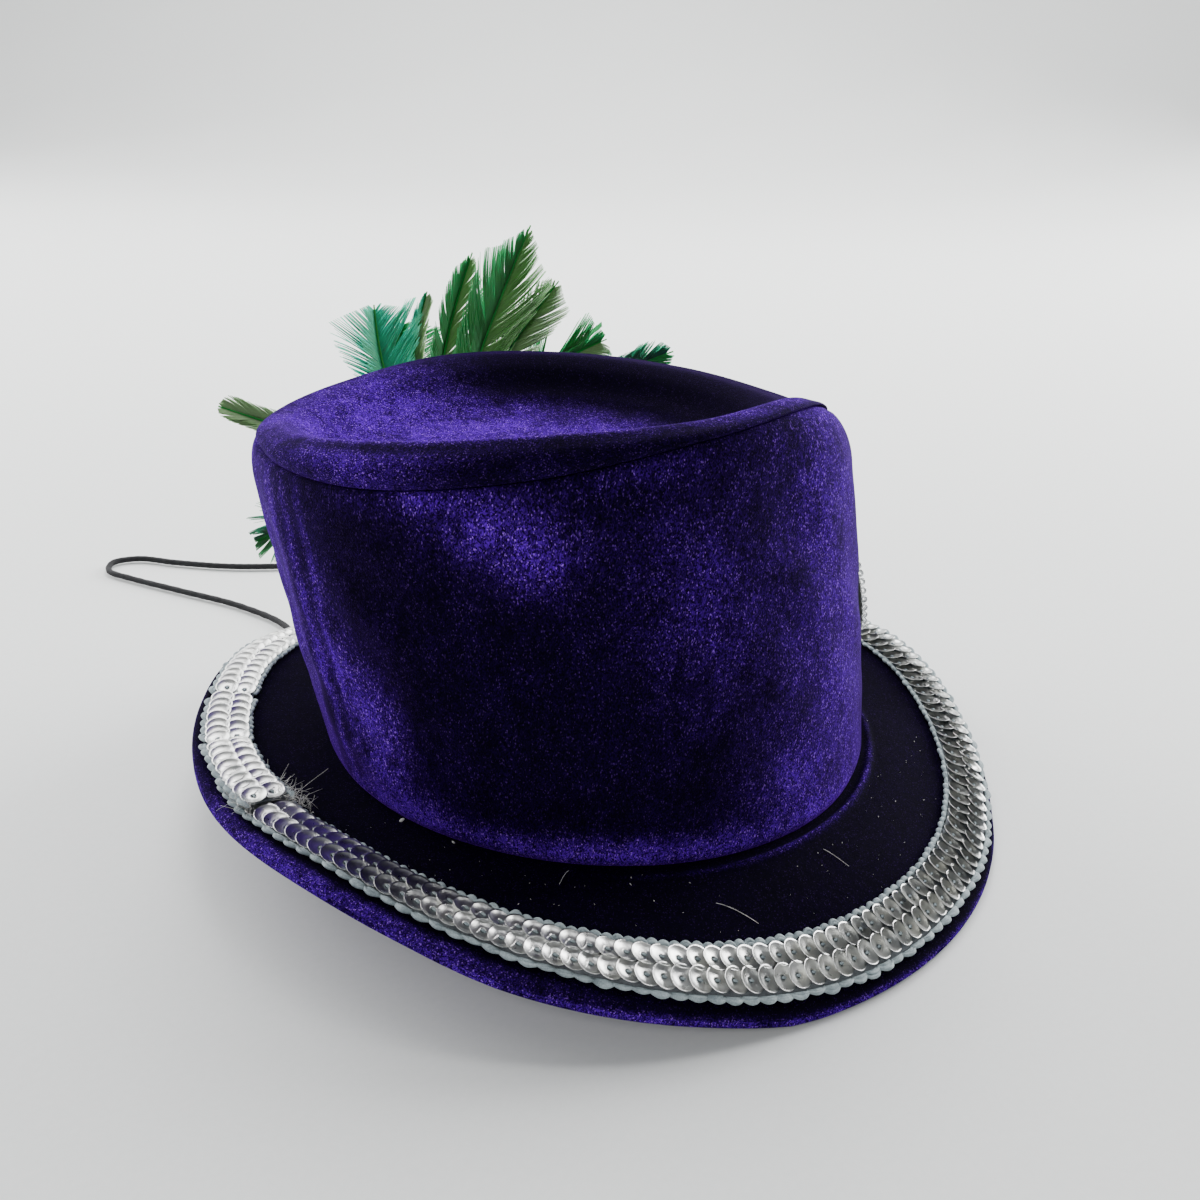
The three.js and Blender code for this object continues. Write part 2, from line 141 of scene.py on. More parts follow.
def sweep(line, radius, sides):
    """Points and faces of a closed tube along a line. The radius is given at each point, or all round it."""
    along = unit(np.gradient(line, axis=0))
    carried = np.cross(along[0], (0, 0, 1) if abs(along[0][2]) < 0.9 else (1, 0, 0))
    across = np.empty_like(line)
    for i, tangent in enumerate(along):
        carried = carried - tangent * np.dot(carried, tangent)
        carried = carried / np.linalg.norm(carried)
        across[i] = carried
    over = np.cross(along, across)
    angle = full_turn(sides)[:, None]
    ring = across[:, None] * np.cos(angle) + over[:, None] * np.sin(angle)
    points = line[:, None] + ring * np.reshape(radius, (len(line), -1, 1))
    return points.reshape(-1, 3), tube_faces(len(line), sides)


def add_piece(name, points, faces, material, **attributes):
    """A mesh of the hat with smooth shading, its faces turned outwards, riding on the hat's one body."""
    mesh = bpy.data.meshes.new(name)
    mesh.from_pydata(points.tolist(), [], faces)
    for key, values in attributes.items():
        values = np.asarray(values, np.float32)
        kind, field = ("FLOAT", "value") if values.ndim == 1 else ("FLOAT_COLOR", "color")
        mesh.attributes.new(key, kind, "POINT").data.foreach_set(field, values.ravel())
    shaped = bmesh.new()
    shaped.from_mesh(mesh)
    bmesh.ops.recalc_face_normals(shaped, faces=shaped.faces)
    shaped.to_mesh(mesh)
    shaped.free()
    mesh.polygons.foreach_set("use_smooth", np.ones(len(mesh.polygons), bool))
    mesh.materials.append(material)
    piece = bpy.data.objects.new(name, mesh)
    bpy.context.scene.collection.objects.link(piece)
    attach(piece, "root")
    return piece


def feed(tree, socket, value):
    """Link a socket to another node's output, or set its own value."""
    if isinstance(value, bpy.types.NodeSocket):
        tree.links.new(value, socket)
    elif hasattr(socket.default_value, "__len__") and len(socket.default_value) == 4 and len(value) == 3:
        socket.default_value = (*value, 1)
    else:
        socket.default_value = value


def feed_all(tree, node, inputs):
    """Feed the inputs of a node by their names, with _ for a space; returns the node."""
    for name, value in inputs.items():
        feed(tree, node.inputs[name.replace("_", " ")], value)
    return node


def add_node(tree, kind, **inputs):
    return feed_all(tree, tree.nodes.new(kind), inputs)


def maths(tree, operation, *values):
    made = tree.nodes.new("ShaderNodeMath")
    made.operation = operation
    for socket, value in zip(made.inputs, values):
        feed(tree, socket, value)
    return made.outputs[0]


def ramp(tree, value, low, high, to_low=0.0, to_high=1.0):
    """A value carried from one range to another and held at its ends."""
    made = add_node(tree, "ShaderNodeMapRange", Value=value, From_Min=low, From_Max=high,
                    To_Min=to_low, To_Max=to_high)
    return made.outputs["Result"]


def mix_colour(tree, share, first, second, how="MIX"):
    made = tree.nodes.new("ShaderNodeMix")
    made.data_type = "RGBA"
    made.blend_type = how
    for index, value in ((0, share), (6, first), (7, second)):
        feed(tree, made.inputs[index], value)
    return made.outputs[2]


def noise(tree, place, scale, detail=2.0, roughness=0.5):
    made = add_node(tree, "ShaderNodeTexNoise", Vector=place, Scale=scale, Detail=detail, Roughness=roughness)
    return made.outputs["Fac"]


def new_group(name, inputs, outputs):
    """An empty shader group with named sockets; returns the group and its input and output nodes."""
    group = bpy.data.node_groups.new(name, "ShaderNodeTree")
    kinds = {"vector": "NodeSocketVector", "number": "NodeSocketFloat", "colour": "NodeSocketColor"}
    for direction, sockets in (("INPUT", inputs), ("OUTPUT", outputs)):
        for socket, kind in sockets.items():
            group.interface.new_socket(socket, in_out=direction, socket_type=kinds[kind])
    return group, group.nodes.new("NodeGroupInput"), group.nodes.new("NodeGroupOutput")


def use_group(tree, group, **inputs):
    made = tree.nodes.new("ShaderNodeGroup")
    made.node_tree = group
    return feed_all(tree, made, inputs)


def new_material(name, **constants):
    """A material whose Principled shader has these constant values; returns it, its tree and the shader."""
    material = bpy.data.materials.new(name)
    material.use_nodes = True
    tree = material.node_tree
    return material, tree, feed_all(tree, tree.nodes["Principled BSDF"], constants)


def raise_relief(tree, shader, height, strength, depth):
    bump = add_node(tree, "ShaderNodeBump", Strength=strength, Distance=depth, Height=height)
    tree.links.new(bump.outputs["Normal"], shader.inputs["Normal"])


def object_place(tree):
    return tree.nodes.new("ShaderNodeTexCoord").outputs["Object"]


# Loose fibre on yarn: soft patches of lighter and darker fibre, and the fine hairs of its surface. The
# elastic, the threads, the tape, the felt and the feathers all have it, each at its own scale.
yarn_fibre, taken, given = new_group(
    "yarn_fibre",
    {"Place": "vector", "Scale": "number", "Shade": "colour", "Light": "colour"},
    {"Color": "colour", "Height": "number"},
)
place = taken.outputs["Place"]
hairs = noise(yarn_fibre, place, taken.outputs["Scale"], 3.0, 0.65)
patches = noise(yarn_fibre, place, maths(yarn_fibre, "MULTIPLY", taken.outputs["Scale"], 0.15))
lightness = ramp(yarn_fibre, maths(yarn_fibre, "ADD", hairs, patches), 0.75, 1.25)
feed(yarn_fibre, given.inputs["Color"],
     mix_colour(yarn_fibre, lightness, taken.outputs["Shade"], taken.outputs["Light"]))
feed(yarn_fibre, given.inputs["Height"], hairs)


def yarn_material(name, shade, light, scale, **constants):
    material, tree, shader = new_material(name, **constants)
    fibre = use_group(tree, yarn_fibre, Place=object_place(tree), Scale=scale, Shade=shade, Light=light)
    feed(tree, shader.inputs["Base Color"], fibre.outputs["Color"])
    feed(tree, shader.inputs["Roughness"], ramp(tree, fibre.outputs["Height"], 0.3, 0.7, 0.55, 0.85))
    raise_relief(tree, shader, fibre.outputs["Height"], 0.5, 0.0001)
    return material


elastic_black = yarn_material("elastic_black", (0.004, 0.004, 0.005), (0.02, 0.02, 0.023), 5000,
                              Specular_IOR_Level=0.3)
route = even_steps(smooth_line(ELASTIC_ROUTE, BRAID["span_points"]), BRAID["step"])
run = np.arange(len(route))[:, None] * BRAID["step"]
turn = full_turn(BRAID["sides"])[None]
over_under = np.maximum(
    np.cos(BRAID["yarns"] * turn + BRAID["twist"] * run), np.cos(BRAID["yarns"] * turn - BRAID["twist"] * run)
)
braid_radius = ELASTIC_DIAMETER / 2 * (1 - BRAID["relief"] * (1 - over_under) / 2)
elastic = add_piece("elastic_loop_braid", *sweep(route, braid_radius, BRAID["sides"]), elastic_black)
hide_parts("elastic_loop")


# Brim: a padded ring of velvet over a stiff base, two layers sewn together round the edge, curled up at
# both sides. A fold of the cloth stands along the foot of the crown at the front.
STATIONS = 360
BRIM = {"wall": 0.003, "flattened": 0.0022, "tuck": 0.0023, "curl": 1.7}
BRIM_LIPS = {"start": 0.94, "turn": 82, "groove": 0.0006, "spread": 0.33}
BRIM_ROWS = {"fold": 34, "fold_end": 0.26, "face": 30, "face_start": 0.28, "edge": 22, "under_step": 4}
FOOT_FOLD = {
    "azimuth": 298, "across": 44, "out": 0.0017, "width": 0.0007, "spread": 1.4, "height": 0.0011, "lay": 0.3,
}
CROWN = {"wall": 0.002, "base_side": 0.0535, "base_end": 0.0505, "top_side": 0.0533, "top_end": 0.0518}
BASE_CENTRE = (-0.0009, 0.0005)
TOP_CENTRE = (-0.0107, 0.0062)
SEAM_GAP = 0.0003


def table(columns, *rows):
    """Rows of values, each with the names of its columns."""
    names = columns.split()
    return [dict(zip(names, row)) for row in rows]


BRIM_EDGE = table(
    "azimuth reach height margin",
    (0, 0.079, 0.011, 0.0022), (25, 0.079, 0.009, 0.0025), (45, 0.079, 0.004, 0.0025),
    (62, 0.079, -0.0006, 0.0025), (85, 0.0776, -0.001, 0.0025), (105, 0.079, -0.0002, 0.0025),
    (120, 0.082, 0.0065, 0.0025), (135, 0.0825, 0.0115, 0.0025), (155, 0.08, 0.014, 0.0025),
    (180, 0.079, 0.0155, 0.003), (202, 0.0785, 0.018, 0.005), (216, 0.078, 0.0158, 0.0046),
    (230, 0.078, 0.0112, 0.0042), (252, 0.0772, 0.0045, 0.0025), (268, 0.0776, 0.0004, 0.0025),
    (290, 0.078, -0.001, 0.0026), (312, 0.078, -0.0006, 0.0019), (335, 0.078, 0.005, 0.0018),
)
CROWN_ROUND = table(
    "azimuth base seam lip shoulder",
    (0, 0.0125, 0.073, 0.0006, 0.003), (30, 0.012, 0.073, 0.0005, 0.0026),
    (60, 0.011, 0.0735, 0.0005, 0.0024), (90, 0.011, 0.0735, 0.0005, 0.0024),
    (120, 0.012, 0.0715, 0.0006, 0.0024), (150, 0.0135, 0.0715, 0.0012, 0.0024),
    (180, 0.0145, 0.073, 0.0036, 0.0018), (210, 0.0145, 0.075, 0.0062, 0.0007),
    (240, 0.0135, 0.0795, 0.0054, 0.0006), (270, 0.012, 0.0845, 0.0017, 0.0009),
    (300, 0.011, 0.0845, 0.0008, 0.003), (330, 0.0115, 0.0765, 0.0005, 0.0042),
)


def around(rows, column, azimuth):
    """A column of values round the hat, read at any azimuth by a smooth closed curve through its rows."""
    stops = np.array([row["azimuth"] for row in rows], float)
    values = np.array([row[column] for row in rows], float)
    stops = np.concatenate([stops[-2:] - 360, stops, stops[:2] + 360])
    values = np.concatenate([values[-2:], values, values[:2]])
    slopes = np.zeros_like(values)
    slopes[1:-1] = (values[2:] - values[:-2]) / (stops[2:] - stops[:-2])
    angle = np.mod(azimuth, 360)
    at = np.searchsorted(stops, angle, side="right") - 1
    length = stops[at + 1] - stops[at]
    u = (angle - stops[at]) / length
    return (values[at] * (1 + 2 * u) * (1 - u) ** 2 + slopes[at] * length * u * (1 - u) ** 2
            + values[at + 1] * u * u * (3 - 2 * u) - slopes[at + 1] * length * u * u * (1 - u))


def blend(start, end, share):
    return start + (end - start) * share


def ease(value, low, high):
    """Smooth step from 0 at low to 1 at high."""
    share = np.clip((value - low) / (high - low), 0, 1)
    return share * share * (3 - 2 * share)


def hump(distance):
    """A smooth rise to 1 at no distance, nearly gone at 1.5."""
    return np.exp(-2 * np.square(distance))


def turn_between(a, b):
    return np.abs(np.mod(a - b + 180, 360) - 180)


def near_spot(azimuth, spot):
    """1 at the azimuth of a fold, patch or turn, falling away on both sides over its across."""
    return hump(turn_between(azimuth, spot["azimuth"]) / spot["across"])


def cos_sin(degrees):
    return np.cos(np.radians(degrees)), np.sin(np.radians(degrees))


def brim_span(azimuth, share):
    """Plan place of the brim's wall, from 0 under the crown to 1 at the edge, and the middle's height."""
    cos, sin = cos_sin(azimuth)
    reach = around(BRIM_EDGE, "reach", azimuth)
    inner_x = cos * (CROWN["base_side"] - BRIM["tuck"]) + BASE_CENTRE[0]
    inner_y = sin * (CROWN["base_end"] - BRIM["tuck"]) + BASE_CENTRE[1]
    high = around(CROWN_ROUND, "base", azimuth) - BRIM["wall"] / 2
    height = blend(high, around(BRIM_EDGE, "height", azimuth), share ** BRIM["curl"])
    return blend(inner_x, cos * reach, share), blend(inner_y, sin * reach, share), height


def brim_width(azimuth):
    inner, outer = (np.stack(brim_span(azimuth, share)[:2]) for share in (0.0, 1.0))
    return np.linalg.norm(outer - inner, axis=0)


def brim_point(azimuth, share, side):
    """A point on or in the brim's wall: side is 1 on its upper face and -1 on its lower face."""
    x, y, height = brim_span(azimuth, share)
    upper = np.maximum(height + BRIM["wall"] / 2, BRIM["flattened"])
    lower = np.maximum(height - BRIM["wall"] / 2, 0)
    out = share * brim_width(azimuth) - BRIM["tuck"]
    fold = FOOT_FOLD["height"] * hump((out - FOOT_FOLD["out"]) / FOOT_FOLD["width"] / FOOT_FOLD["spread"])
    upper = upper + fold * near_spot(azimuth, FOOT_FOLD)
    return np.stack(np.broadcast_arrays(x, y, blend(lower, upper, (side + 1) / 2)), axis=-1)


# Velvet pile: short upright fibre that reads dark where it faces the eye and bright where it lies over.
# lay on the mesh is painted sheen and shade: how bright the pile looks from the front, partly where
# it has been brushed over, put into the base colour. The specks are painted glints at the tips of single
# tufts.
PILE = {"tufts": 6000.0, "crushed": 150.0, "combed": 560.0}
# Bright is the colour of the painted sheen, and Glints is the colour of the painted glints.
VIOLET = {"Dark": (0.001, 0.0004, 0.004), "Bright": (0.125, 0.002, 0.58), "Glints": (0.4, 0.15, 1.0)}
velvet_pile_sheen, taken, given = new_group(
    "velvet_pile_sheen",
    {"Place": "vector", "Lay": "number", "Dark": "colour", "Bright": "colour", "Glints": "colour"},
    {"Color": "colour", "Height": "number"},
)
place = taken.outputs["Place"]
tufts = add_node(velvet_pile_sheen, "ShaderNodeTexVoronoi", Vector=place, Scale=PILE["tufts"])
each_tuft = add_node(velvet_pile_sheen, "ShaderNodeSeparateColor", Color=tufts.outputs["Color"])
crushed = noise(velvet_pile_sheen, place, PILE["crushed"], 3.0, 0.6)
combed = noise(velvet_pile_sheen, place, PILE["combed"], 2.0, 0.6)
uneven = maths(velvet_pile_sheen, "ADD", maths(velvet_pile_sheen, "MULTIPLY", crushed, 0.6),
               maths(velvet_pile_sheen, "MULTIPLY", combed, 0.4))
lying_and_sheen = maths(velvet_pile_sheen, "MULTIPLY", taken.outputs["Lay"], ramp(velvet_pile_sheen, uneven, 0.38, 0.62, 0.3, 1.3))
tuft_light = maths(velvet_pile_sheen, "POWER", each_tuft.outputs["Red"], 2.0)
lit = maths(velvet_pile_sheen, "MULTIPLY", lying_and_sheen, ramp(velvet_pile_sheen, tuft_light, 0.0, 1.0, 0.08, 1.7))
body = mix_colour(velvet_pile_sheen, lit, taken.outputs["Dark"], taken.outputs["Bright"])
# Painted glints: a few tufts take the glint colour, more of them where the painted sheen is high.
painted_glint = maths(velvet_pile_sheen, "MULTIPLY", ramp(velvet_pile_sheen, each_tuft.outputs["Green"], 0.92, 0.985),
              ramp(velvet_pile_sheen, lying_and_sheen, 0.012, 0.32, 0.035, 0.7))
feed(velvet_pile_sheen, given.inputs["Color"], mix_colour(velvet_pile_sheen, painted_glint, body, taken.outputs["Glints"]))
feed(velvet_pile_sheen, given.inputs["Height"], maths(velvet_pile_sheen, "ADD", tuft_light, combed))


def mesh_values(tree, name):
    """The node that reads values kept on the points of a mesh."""
    made = tree.nodes.new("ShaderNodeAttribute")
    made.attribute_name = name
    return made


def velvet_material(name, streak, sheen):
    """Violet velvet. streak stretches the tufts along the pile, and sheen is the glow at grazing angles."""
    material, tree, shader = new_material(
        name, Roughness=0.9, Specular_IOR_Level=0.03, Sheen_Weight=sheen, Sheen_Roughness=0.3,
        Sheen_Tint=(0.28, 0.02, 1.0),
    )
    stretched = add_node(tree, "ShaderNodeMapping", Vector=object_place(tree), Scale=streak)
    # lay on the mesh: painted sheen and shade, partly brushed pile.
    lay = mesh_values(tree, "lay").outputs["Fac"]
    pile = use_group(tree, velvet_pile_sheen, Place=stretched.outputs["Vector"], Lay=lay, **VIOLET)
    feed(tree, shader.inputs["Base Color"], pile.outputs["Color"])
    raise_relief(tree, shader, pile.outputs["Height"], 0.5, 0.0002)
    return material


# Painted sheen and highlights on the brim: its face dark, a painted highlight line along the rolled edge, a
# painted sheen on the strip near the front left edge, partly brushed pile, and a painted highlight on the
# crest of the foot fold.
BRIM_LAY_AND_SHEEN = {"face": 0.008, "under": 0.25, "line": 0.7, "spread": 0.7}
BRUSHED_EDGE_SHEEN = {"azimuth": 206, "across": 32, "lay": 0.5, "from": 0.001, "to": 0.0036}
brim_velvet = velvet_material("brim_velvet", (1, 1, 1), 0.015)
stations = np.arange(STATIONS)[:, None] * 360 / STATIONS
ring_width = brim_width(stations)
face_shares = np.concatenate([
    np.linspace(0, BRIM_ROWS["fold_end"], BRIM_ROWS["fold"]),
    np.linspace(BRIM_ROWS["face_start"], BRIM_LIPS["start"], BRIM_ROWS["face"]),
])[None]
round_edge = np.radians(np.linspace(BRIM_LIPS["turn"], -BRIM_LIPS["turn"], BRIM_ROWS["edge"]))[None]
groove = BRIM_LIPS["groove"] / ring_width * hump(round_edge / BRIM_LIPS["spread"])
edge_shares = BRIM_LIPS["start"] + (1 - BRIM_LIPS["start"]) * np.cos(round_edge) - groove
brim_grid = np.concatenate([
    brim_point(stations, face_shares, 1.0),
    brim_point(stations, edge_shares, np.sin(round_edge)),
    brim_point(stations, face_shares[:, ::-BRIM_ROWS["under_step"]], -1.0),
], axis=1)
brim_rows = brim_grid.shape[1]
upper_rows = face_shares.shape[1]
edge_rows = slice(upper_rows, upper_rows + round_edge.size)
brushed_sheen = near_spot(stations, BRUSHED_EDGE_SHEEN)
near_edge = 1 - ease((1 - face_shares) * ring_width, BRUSHED_EDGE_SHEEN["from"], BRUSHED_EDGE_SHEEN["to"])
# Painted highlight along the crest of the foot fold.
fold_crest_highlight = hump((face_shares * ring_width - BRIM["tuck"] - FOOT_FOLD["out"]) / FOOT_FOLD["width"])
# Painted highlight along the rolled edge.
edge_highlight = BRIM_LAY_AND_SHEEN["line"] * hump(round_edge / BRIM_LAY_AND_SHEEN["spread"])
brim_lay = np.full(brim_grid.shape[:2], BRIM_LAY_AND_SHEEN["face"])
brim_lay[:, :upper_rows] += BRUSHED_EDGE_SHEEN["lay"] * brushed_sheen * near_edge
brim_lay[:, :upper_rows] += FOOT_FOLD["lay"] * (fold_crest_highlight * near_spot(stations, FOOT_FOLD))
brim_lay[:, edge_rows] = blend(edge_highlight, BRUSHED_EDGE_SHEEN["lay"], brushed_sheen)
brim_lay[:, edge_rows.stop:] = BRIM_LAY_AND_SHEEN["under"]
brim = add_piece("brim_velvet_ring", brim_grid.reshape(-1, 3), grid_faces(STATIONS, brim_rows, True),
                 brim_velvet, lay=brim_lay.ravel())
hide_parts("brim")


# Crown side: the upright wall of velvet, sewn to the brim at its foot and to the tip at its top, leaning
# back a little, with soft dents and upright folds where the cloth is loose. Its inside is plain dark cloth.
SIDE = {"bulge": 0.0007, "shoulder_start": 0.88, "foot_tuck": 0.0006, "tuck_to": 0.025, "lay": 0.034}
SIDE_ROWS = {"foot_to": 0.06, "foot": 8, "middle": 70, "head_from": 0.94, "head": 9, "inside": 14}
WALL_FOLDS = table(
    "azimuth rise across up depth",
    (238, 0.62, 26, 0.3, 0.0016), (176, 0.55, 7, 0.5, 0.0008), (188, 0.5, 6, 0.5, -0.0007),
    (285, 0.8, 14, 0.2, 0.0008), (205, 0.15, 20, 0.15, -0.0008),
)
# Painted sheen and shade on the crown's side: bright and dark patches and upright lines of the pile as seen
# from the front, partly brushed pile, put into its base colour.
WALL_LAY_AND_SHEEN = table(
    "azimuth rise across up strength",
    (166, 0.5, 22, 1.4, 0.35), (184, 0.5, 3, 0.8, 0.35), (190.5, 0.45, 1.8, 0.6, 0.5),
    (195.5, 0.5, 1.6, 0.6, 0.45), (186, 0.28, 4, 0.16, -0.3), (203, 0.3, 8, 0.2, 0.65),
    (204, 0.06, 16, 0.12, 0.55), (231, 0.9, 9, 0.08, 0.5), (240, 0.84, 9, 0.11, 0.5),
    (222, 0.98, 14, 0.05, 0.4), (258, 0.97, 16, 0.04, 0.15), (266, 0.65, 14, 0.3, 0.22),
    (290, 0.5, 16, 0.9, 0.2), (306, 0.5, 15, 1.2, 0.3), (300, 0.95, 14, 0.2, 0.2),
    (250, 0.03, 70, 0.06, 0.7), (285, 0.13, 16, 0.14, 0.3), (60, 0.5, 40, 0.7, 0.6), (130, 0.4, 30, 0.5, 0.5),
    (20, 0.6, 25, 0.4, 0.35), (197, 0.5, 6, 0.3, 0.28),
)
LOOSE_CLOTH = {"depth": 0.00022, "slant": 4, "waves": ((5, 3.1), (9, 5.3), (14, 8.2), (23, 4.4))}


def side_wall(azimuth, rise, inset=0.0):
    """Outer face of the crown's side, or a face inset from it; rise is 0 at the brim and 1 at the seam."""
    cos, sin = cos_sin(azimuth)
    turned = np.clip((rise - SIDE["shoulder_start"]) / (1 - SIDE["shoulder_start"]), 0, 1)
    shoulder = around(CROWN_ROUND, "shoulder", azimuth) * (1 - np.sqrt(1 - turned ** 2))
    swell = SIDE["bulge"] * np.sin(math.pi * rise) - shoulder
    for fold in WALL_FOLDS:
        swell = swell - fold["depth"] * near_spot(azimuth, fold) * hump((rise - fold["rise"]) / fold["up"])
    out = swell - inset
    x = cos * (blend(CROWN["base_side"], CROWN["top_side"], rise) + out)
    y = sin * (blend(CROWN["base_end"], CROWN["top_end"], rise) + out)
    foot = around(CROWN_ROUND, "base", azimuth) + SEAM_GAP
    z = blend(foot, around(CROWN_ROUND, "seam", azimuth), rise)
    x = x + blend(BASE_CENTRE[0], TOP_CENTRE[0], rise)
    y = y + blend(BASE_CENTRE[1], TOP_CENTRE[1], rise)
    return np.stack(np.broadcast_arrays(x, y, z), axis=-1)


def on_side(azimuth, height, standoff):
    """A point off the side wall at a height."""
    foot = around(CROWN_ROUND, "base", azimuth)
    rise = np.clip((height - foot) / (around(CROWN_ROUND, "seam", azimuth) - foot), 0, 1)
    point = side_wall(azimuth, rise, -standoff)
    point[..., 2] = height
    return point


crown_velvet = velvet_material("crown_velvet", (1, 1, 0.6), 0.18)
inside_cloth = yarn_material("inside_cloth", (0.003, 0.002, 0.008), (0.012, 0.008, 0.03), 2500)
rises = np.concatenate([
    np.linspace(0, SIDE_ROWS["foot_to"], SIDE_ROWS["foot"])[:-1],
    np.linspace(SIDE_ROWS["foot_to"], SIDE_ROWS["head_from"], SIDE_ROWS["middle"]),
    np.linspace(SIDE_ROWS["head_from"], 1, SIDE_ROWS["head"])[1:],
])[None]
inner_rises = np.linspace(1, 0, SIDE_ROWS["inside"])[None]
loose = sum(
    np.sin(np.radians(stations * n) + k * rises * LOOSE_CLOTH["slant"] + n) for n, k in LOOSE_CLOTH["waves"]
)
loose = loose * LOOSE_CLOTH["depth"] / 2 * np.sin(math.pi * rises)
tucked = loose + SIDE["foot_tuck"] * (1 - ease(rises, 0, SIDE["tuck_to"]))
side_grid = np.concatenate(
    [side_wall(stations, rises, tucked), side_wall(stations, inner_rises, CROWN["wall"])], axis=1
)
side_lay = np.full(side_grid.shape[:2], SIDE["lay"])
for patch in WALL_LAY_AND_SHEEN:
    shape = near_spot(stations, patch) * hump((rises - patch["rise"]) / patch["up"])
    side_lay[:, :rises.size] += patch["strength"] * shape
side_rows = side_grid.shape[1]
crown_side = add_piece("crown_side_velvet", side_grid.reshape(-1, 3), grid_faces(STATIONS, side_rows, True),
                       crown_velvet, lay=np.clip(side_lay, 0, 1).ravel())
crown_side.data.materials.append(inside_cloth)
within = np.tile(np.arange(side_rows) >= rises.size, STATIONS)
crown_side.data.polygons.foreach_set("material_index", within.astype(np.int32))
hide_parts("crown_side")


# Crown tip: the oval top of velvet, sewn to the side all round, puffed along its seam and sunken in the
# middle like a shallow bowl. Where the puff is high it hangs over the seam a little.
TIP = {"wall": 0.0018, "floor": 0.065, "lay": 0.02, "under_lay": 0.1}
TIP_ROWS = {"span": 8, "under_from": 24, "under_step": 4}
TIP_PROFILE = table(
    "inset overhang lip sunk",
    (0, 0, 0, 0), (0, 0.12, 0.4, 0), (0.0014, 0, 0.82, 0), (0.0045, 0, 1, 0.01), (0.008, 0, 0.85, 0.14),
    (0.014, 0, 0.3, 0.62), (0.023, 0, 0.05, 0.92), (0.036, 0, 0, 0.98), (0.052, 0, 0, 1),
)
# Painted sheen and shade on the tip: bright patches on the floor of the bowl, partly brushed pile.
TIP_LAY_AND_SHEEN = table(
    "x y across strength",
    (-0.03, 0.034, 0.022, 0.75), (-0.006, 0.028, 0.016, 0.6), (0.008, 0.018, 0.012, 0.4),
    (-0.05, 0.02, 0.016, 0.6), (-0.052, 0.0, 0.014, 0.5),
)
# Painted shade on the front face of the lip, between its crest and the floor.
LIP_FACE_SHADE = {"azimuth": 240, "across": 75, "face": 0.05, "ridge": 0.0054, "floor": 0.0085}
# Painted shade on the far inner wall of the bowl.
FAR_WALL_SHADE = {"azimuth": 25, "from": 45, "to": 85, "wall": 0.0125, "floor": 0.019, "lay": 0.006}
# Painted highlights along the crest of the lip and near the seam at the front left.
RIDGE_HIGHLIGHT = table(
    "azimuth across inset width strength",
    (222, 55, 0.0044, 0.0014, 0.65), (290, 24, 0.0035, 0.003, 0.45), (208, 18, 0.0006, 0.0012, 0.4),
)
tip_rows = smooth_line([list(row.values()) for row in TIP_PROFILE], TIP_ROWS["span"])


def tip_face(row, under, trim_back):
    """A ring of the tip for each row of inset, overhang, share of the lip and share of the sunken floor."""
    inset, overhang, lip_share, sunk = (row[None, :, k] for k in range(4))
    seam = side_wall(stations, np.ones((1, 1)))
    lip = around(CROWN_ROUND, "lip", stations)
    share = 1 - (inset - overhang * lip + trim_back) / ((CROWN["top_side"] + CROWN["top_end"]) / 2)
    middle = np.array(TOP_CENTRE)
    flat = middle + (seam[..., :2] - middle) * share[..., None]
    height = blend(seam[..., 2] + SEAM_GAP + lip * lip_share, TIP["floor"], sunk) - under
    return np.concatenate([flat, height[..., None]], axis=-1)


def between_poles(name, rings, first, last, material, **attributes):
    """A closed solid from rings that run from one pole to the other."""
    count, size = rings.shape[1], rings.shape[0]
    points = np.vstack([rings.transpose(1, 0, 2).reshape(-1, 3), [first, last]])
    faces = grid_faces(count, size)
    start, end = count * size, count * size + 1
    top = (count - 1) * size
    for j in range(size):
        k = (j + 1) % size
        faces += [[start, j, k], [end, top + k, top + j]]
    return add_piece(name, points, faces, material, **attributes)


tip_velvet = velvet_material("tip_velvet", (1, 1, 1), 0.12)
tip_upper = tip_face(tip_rows[:-1], 0.0, 0.0)
tip_edge = tip_face(tip_rows[:1], 0.0, TIP["wall"])
lower_rows = tip_rows[TIP_ROWS["under_from"]:-1:TIP_ROWS["under_step"]]
tip_lower = tip_face(lower_rows, TIP["wall"], TIP["wall"] / 2)[:, ::-1]
tip_rings = np.concatenate([tip_lower, tip_edge, tip_upper], axis=1)
tip_middle = np.array([*TOP_CENTRE, TIP["floor"]])
tip_below = tip_middle - (0, 0, TIP["wall"])
tip_lay = np.full(tip_upper.shape[:2], TIP["lay"])
for patch in TIP_LAY_AND_SHEEN:
    away = np.hypot(tip_upper[..., 0] - patch["x"], tip_upper[..., 1] - patch["y"])
    tip_lay += patch["strength"] * hump(away / patch["across"])
tip_inset = tip_rows[None, :-1, 0]
lip_face_shade = 1 - ease(tip_inset, LIP_FACE_SHADE["ridge"], LIP_FACE_SHADE["floor"])
tip_lay = blend(tip_lay, LIP_FACE_SHADE["face"], near_spot(stations, LIP_FACE_SHADE) * lip_face_shade)
far_wall_shade = 1 - ease(turn_between(stations, FAR_WALL_SHADE["azimuth"]), FAR_WALL_SHADE["from"], FAR_WALL_SHADE["to"])
far_wall_shade = far_wall_shade * (1 - ease(tip_inset, FAR_WALL_SHADE["wall"], FAR_WALL_SHADE["floor"]))
tip_lay = blend(tip_lay, FAR_WALL_SHADE["lay"], far_wall_shade)
for patch in RIDGE_HIGHLIGHT:
    shape = near_spot(stations, patch) * hump((tip_inset - patch["inset"]) / patch["width"])
    tip_lay += patch["strength"] * shape
under_lay = np.full((STATIONS, tip_lower.shape[1] + 1), TIP["under_lay"])
tip_lay = np.concatenate([under_lay, np.clip(tip_lay, 0, 1)], axis=1)
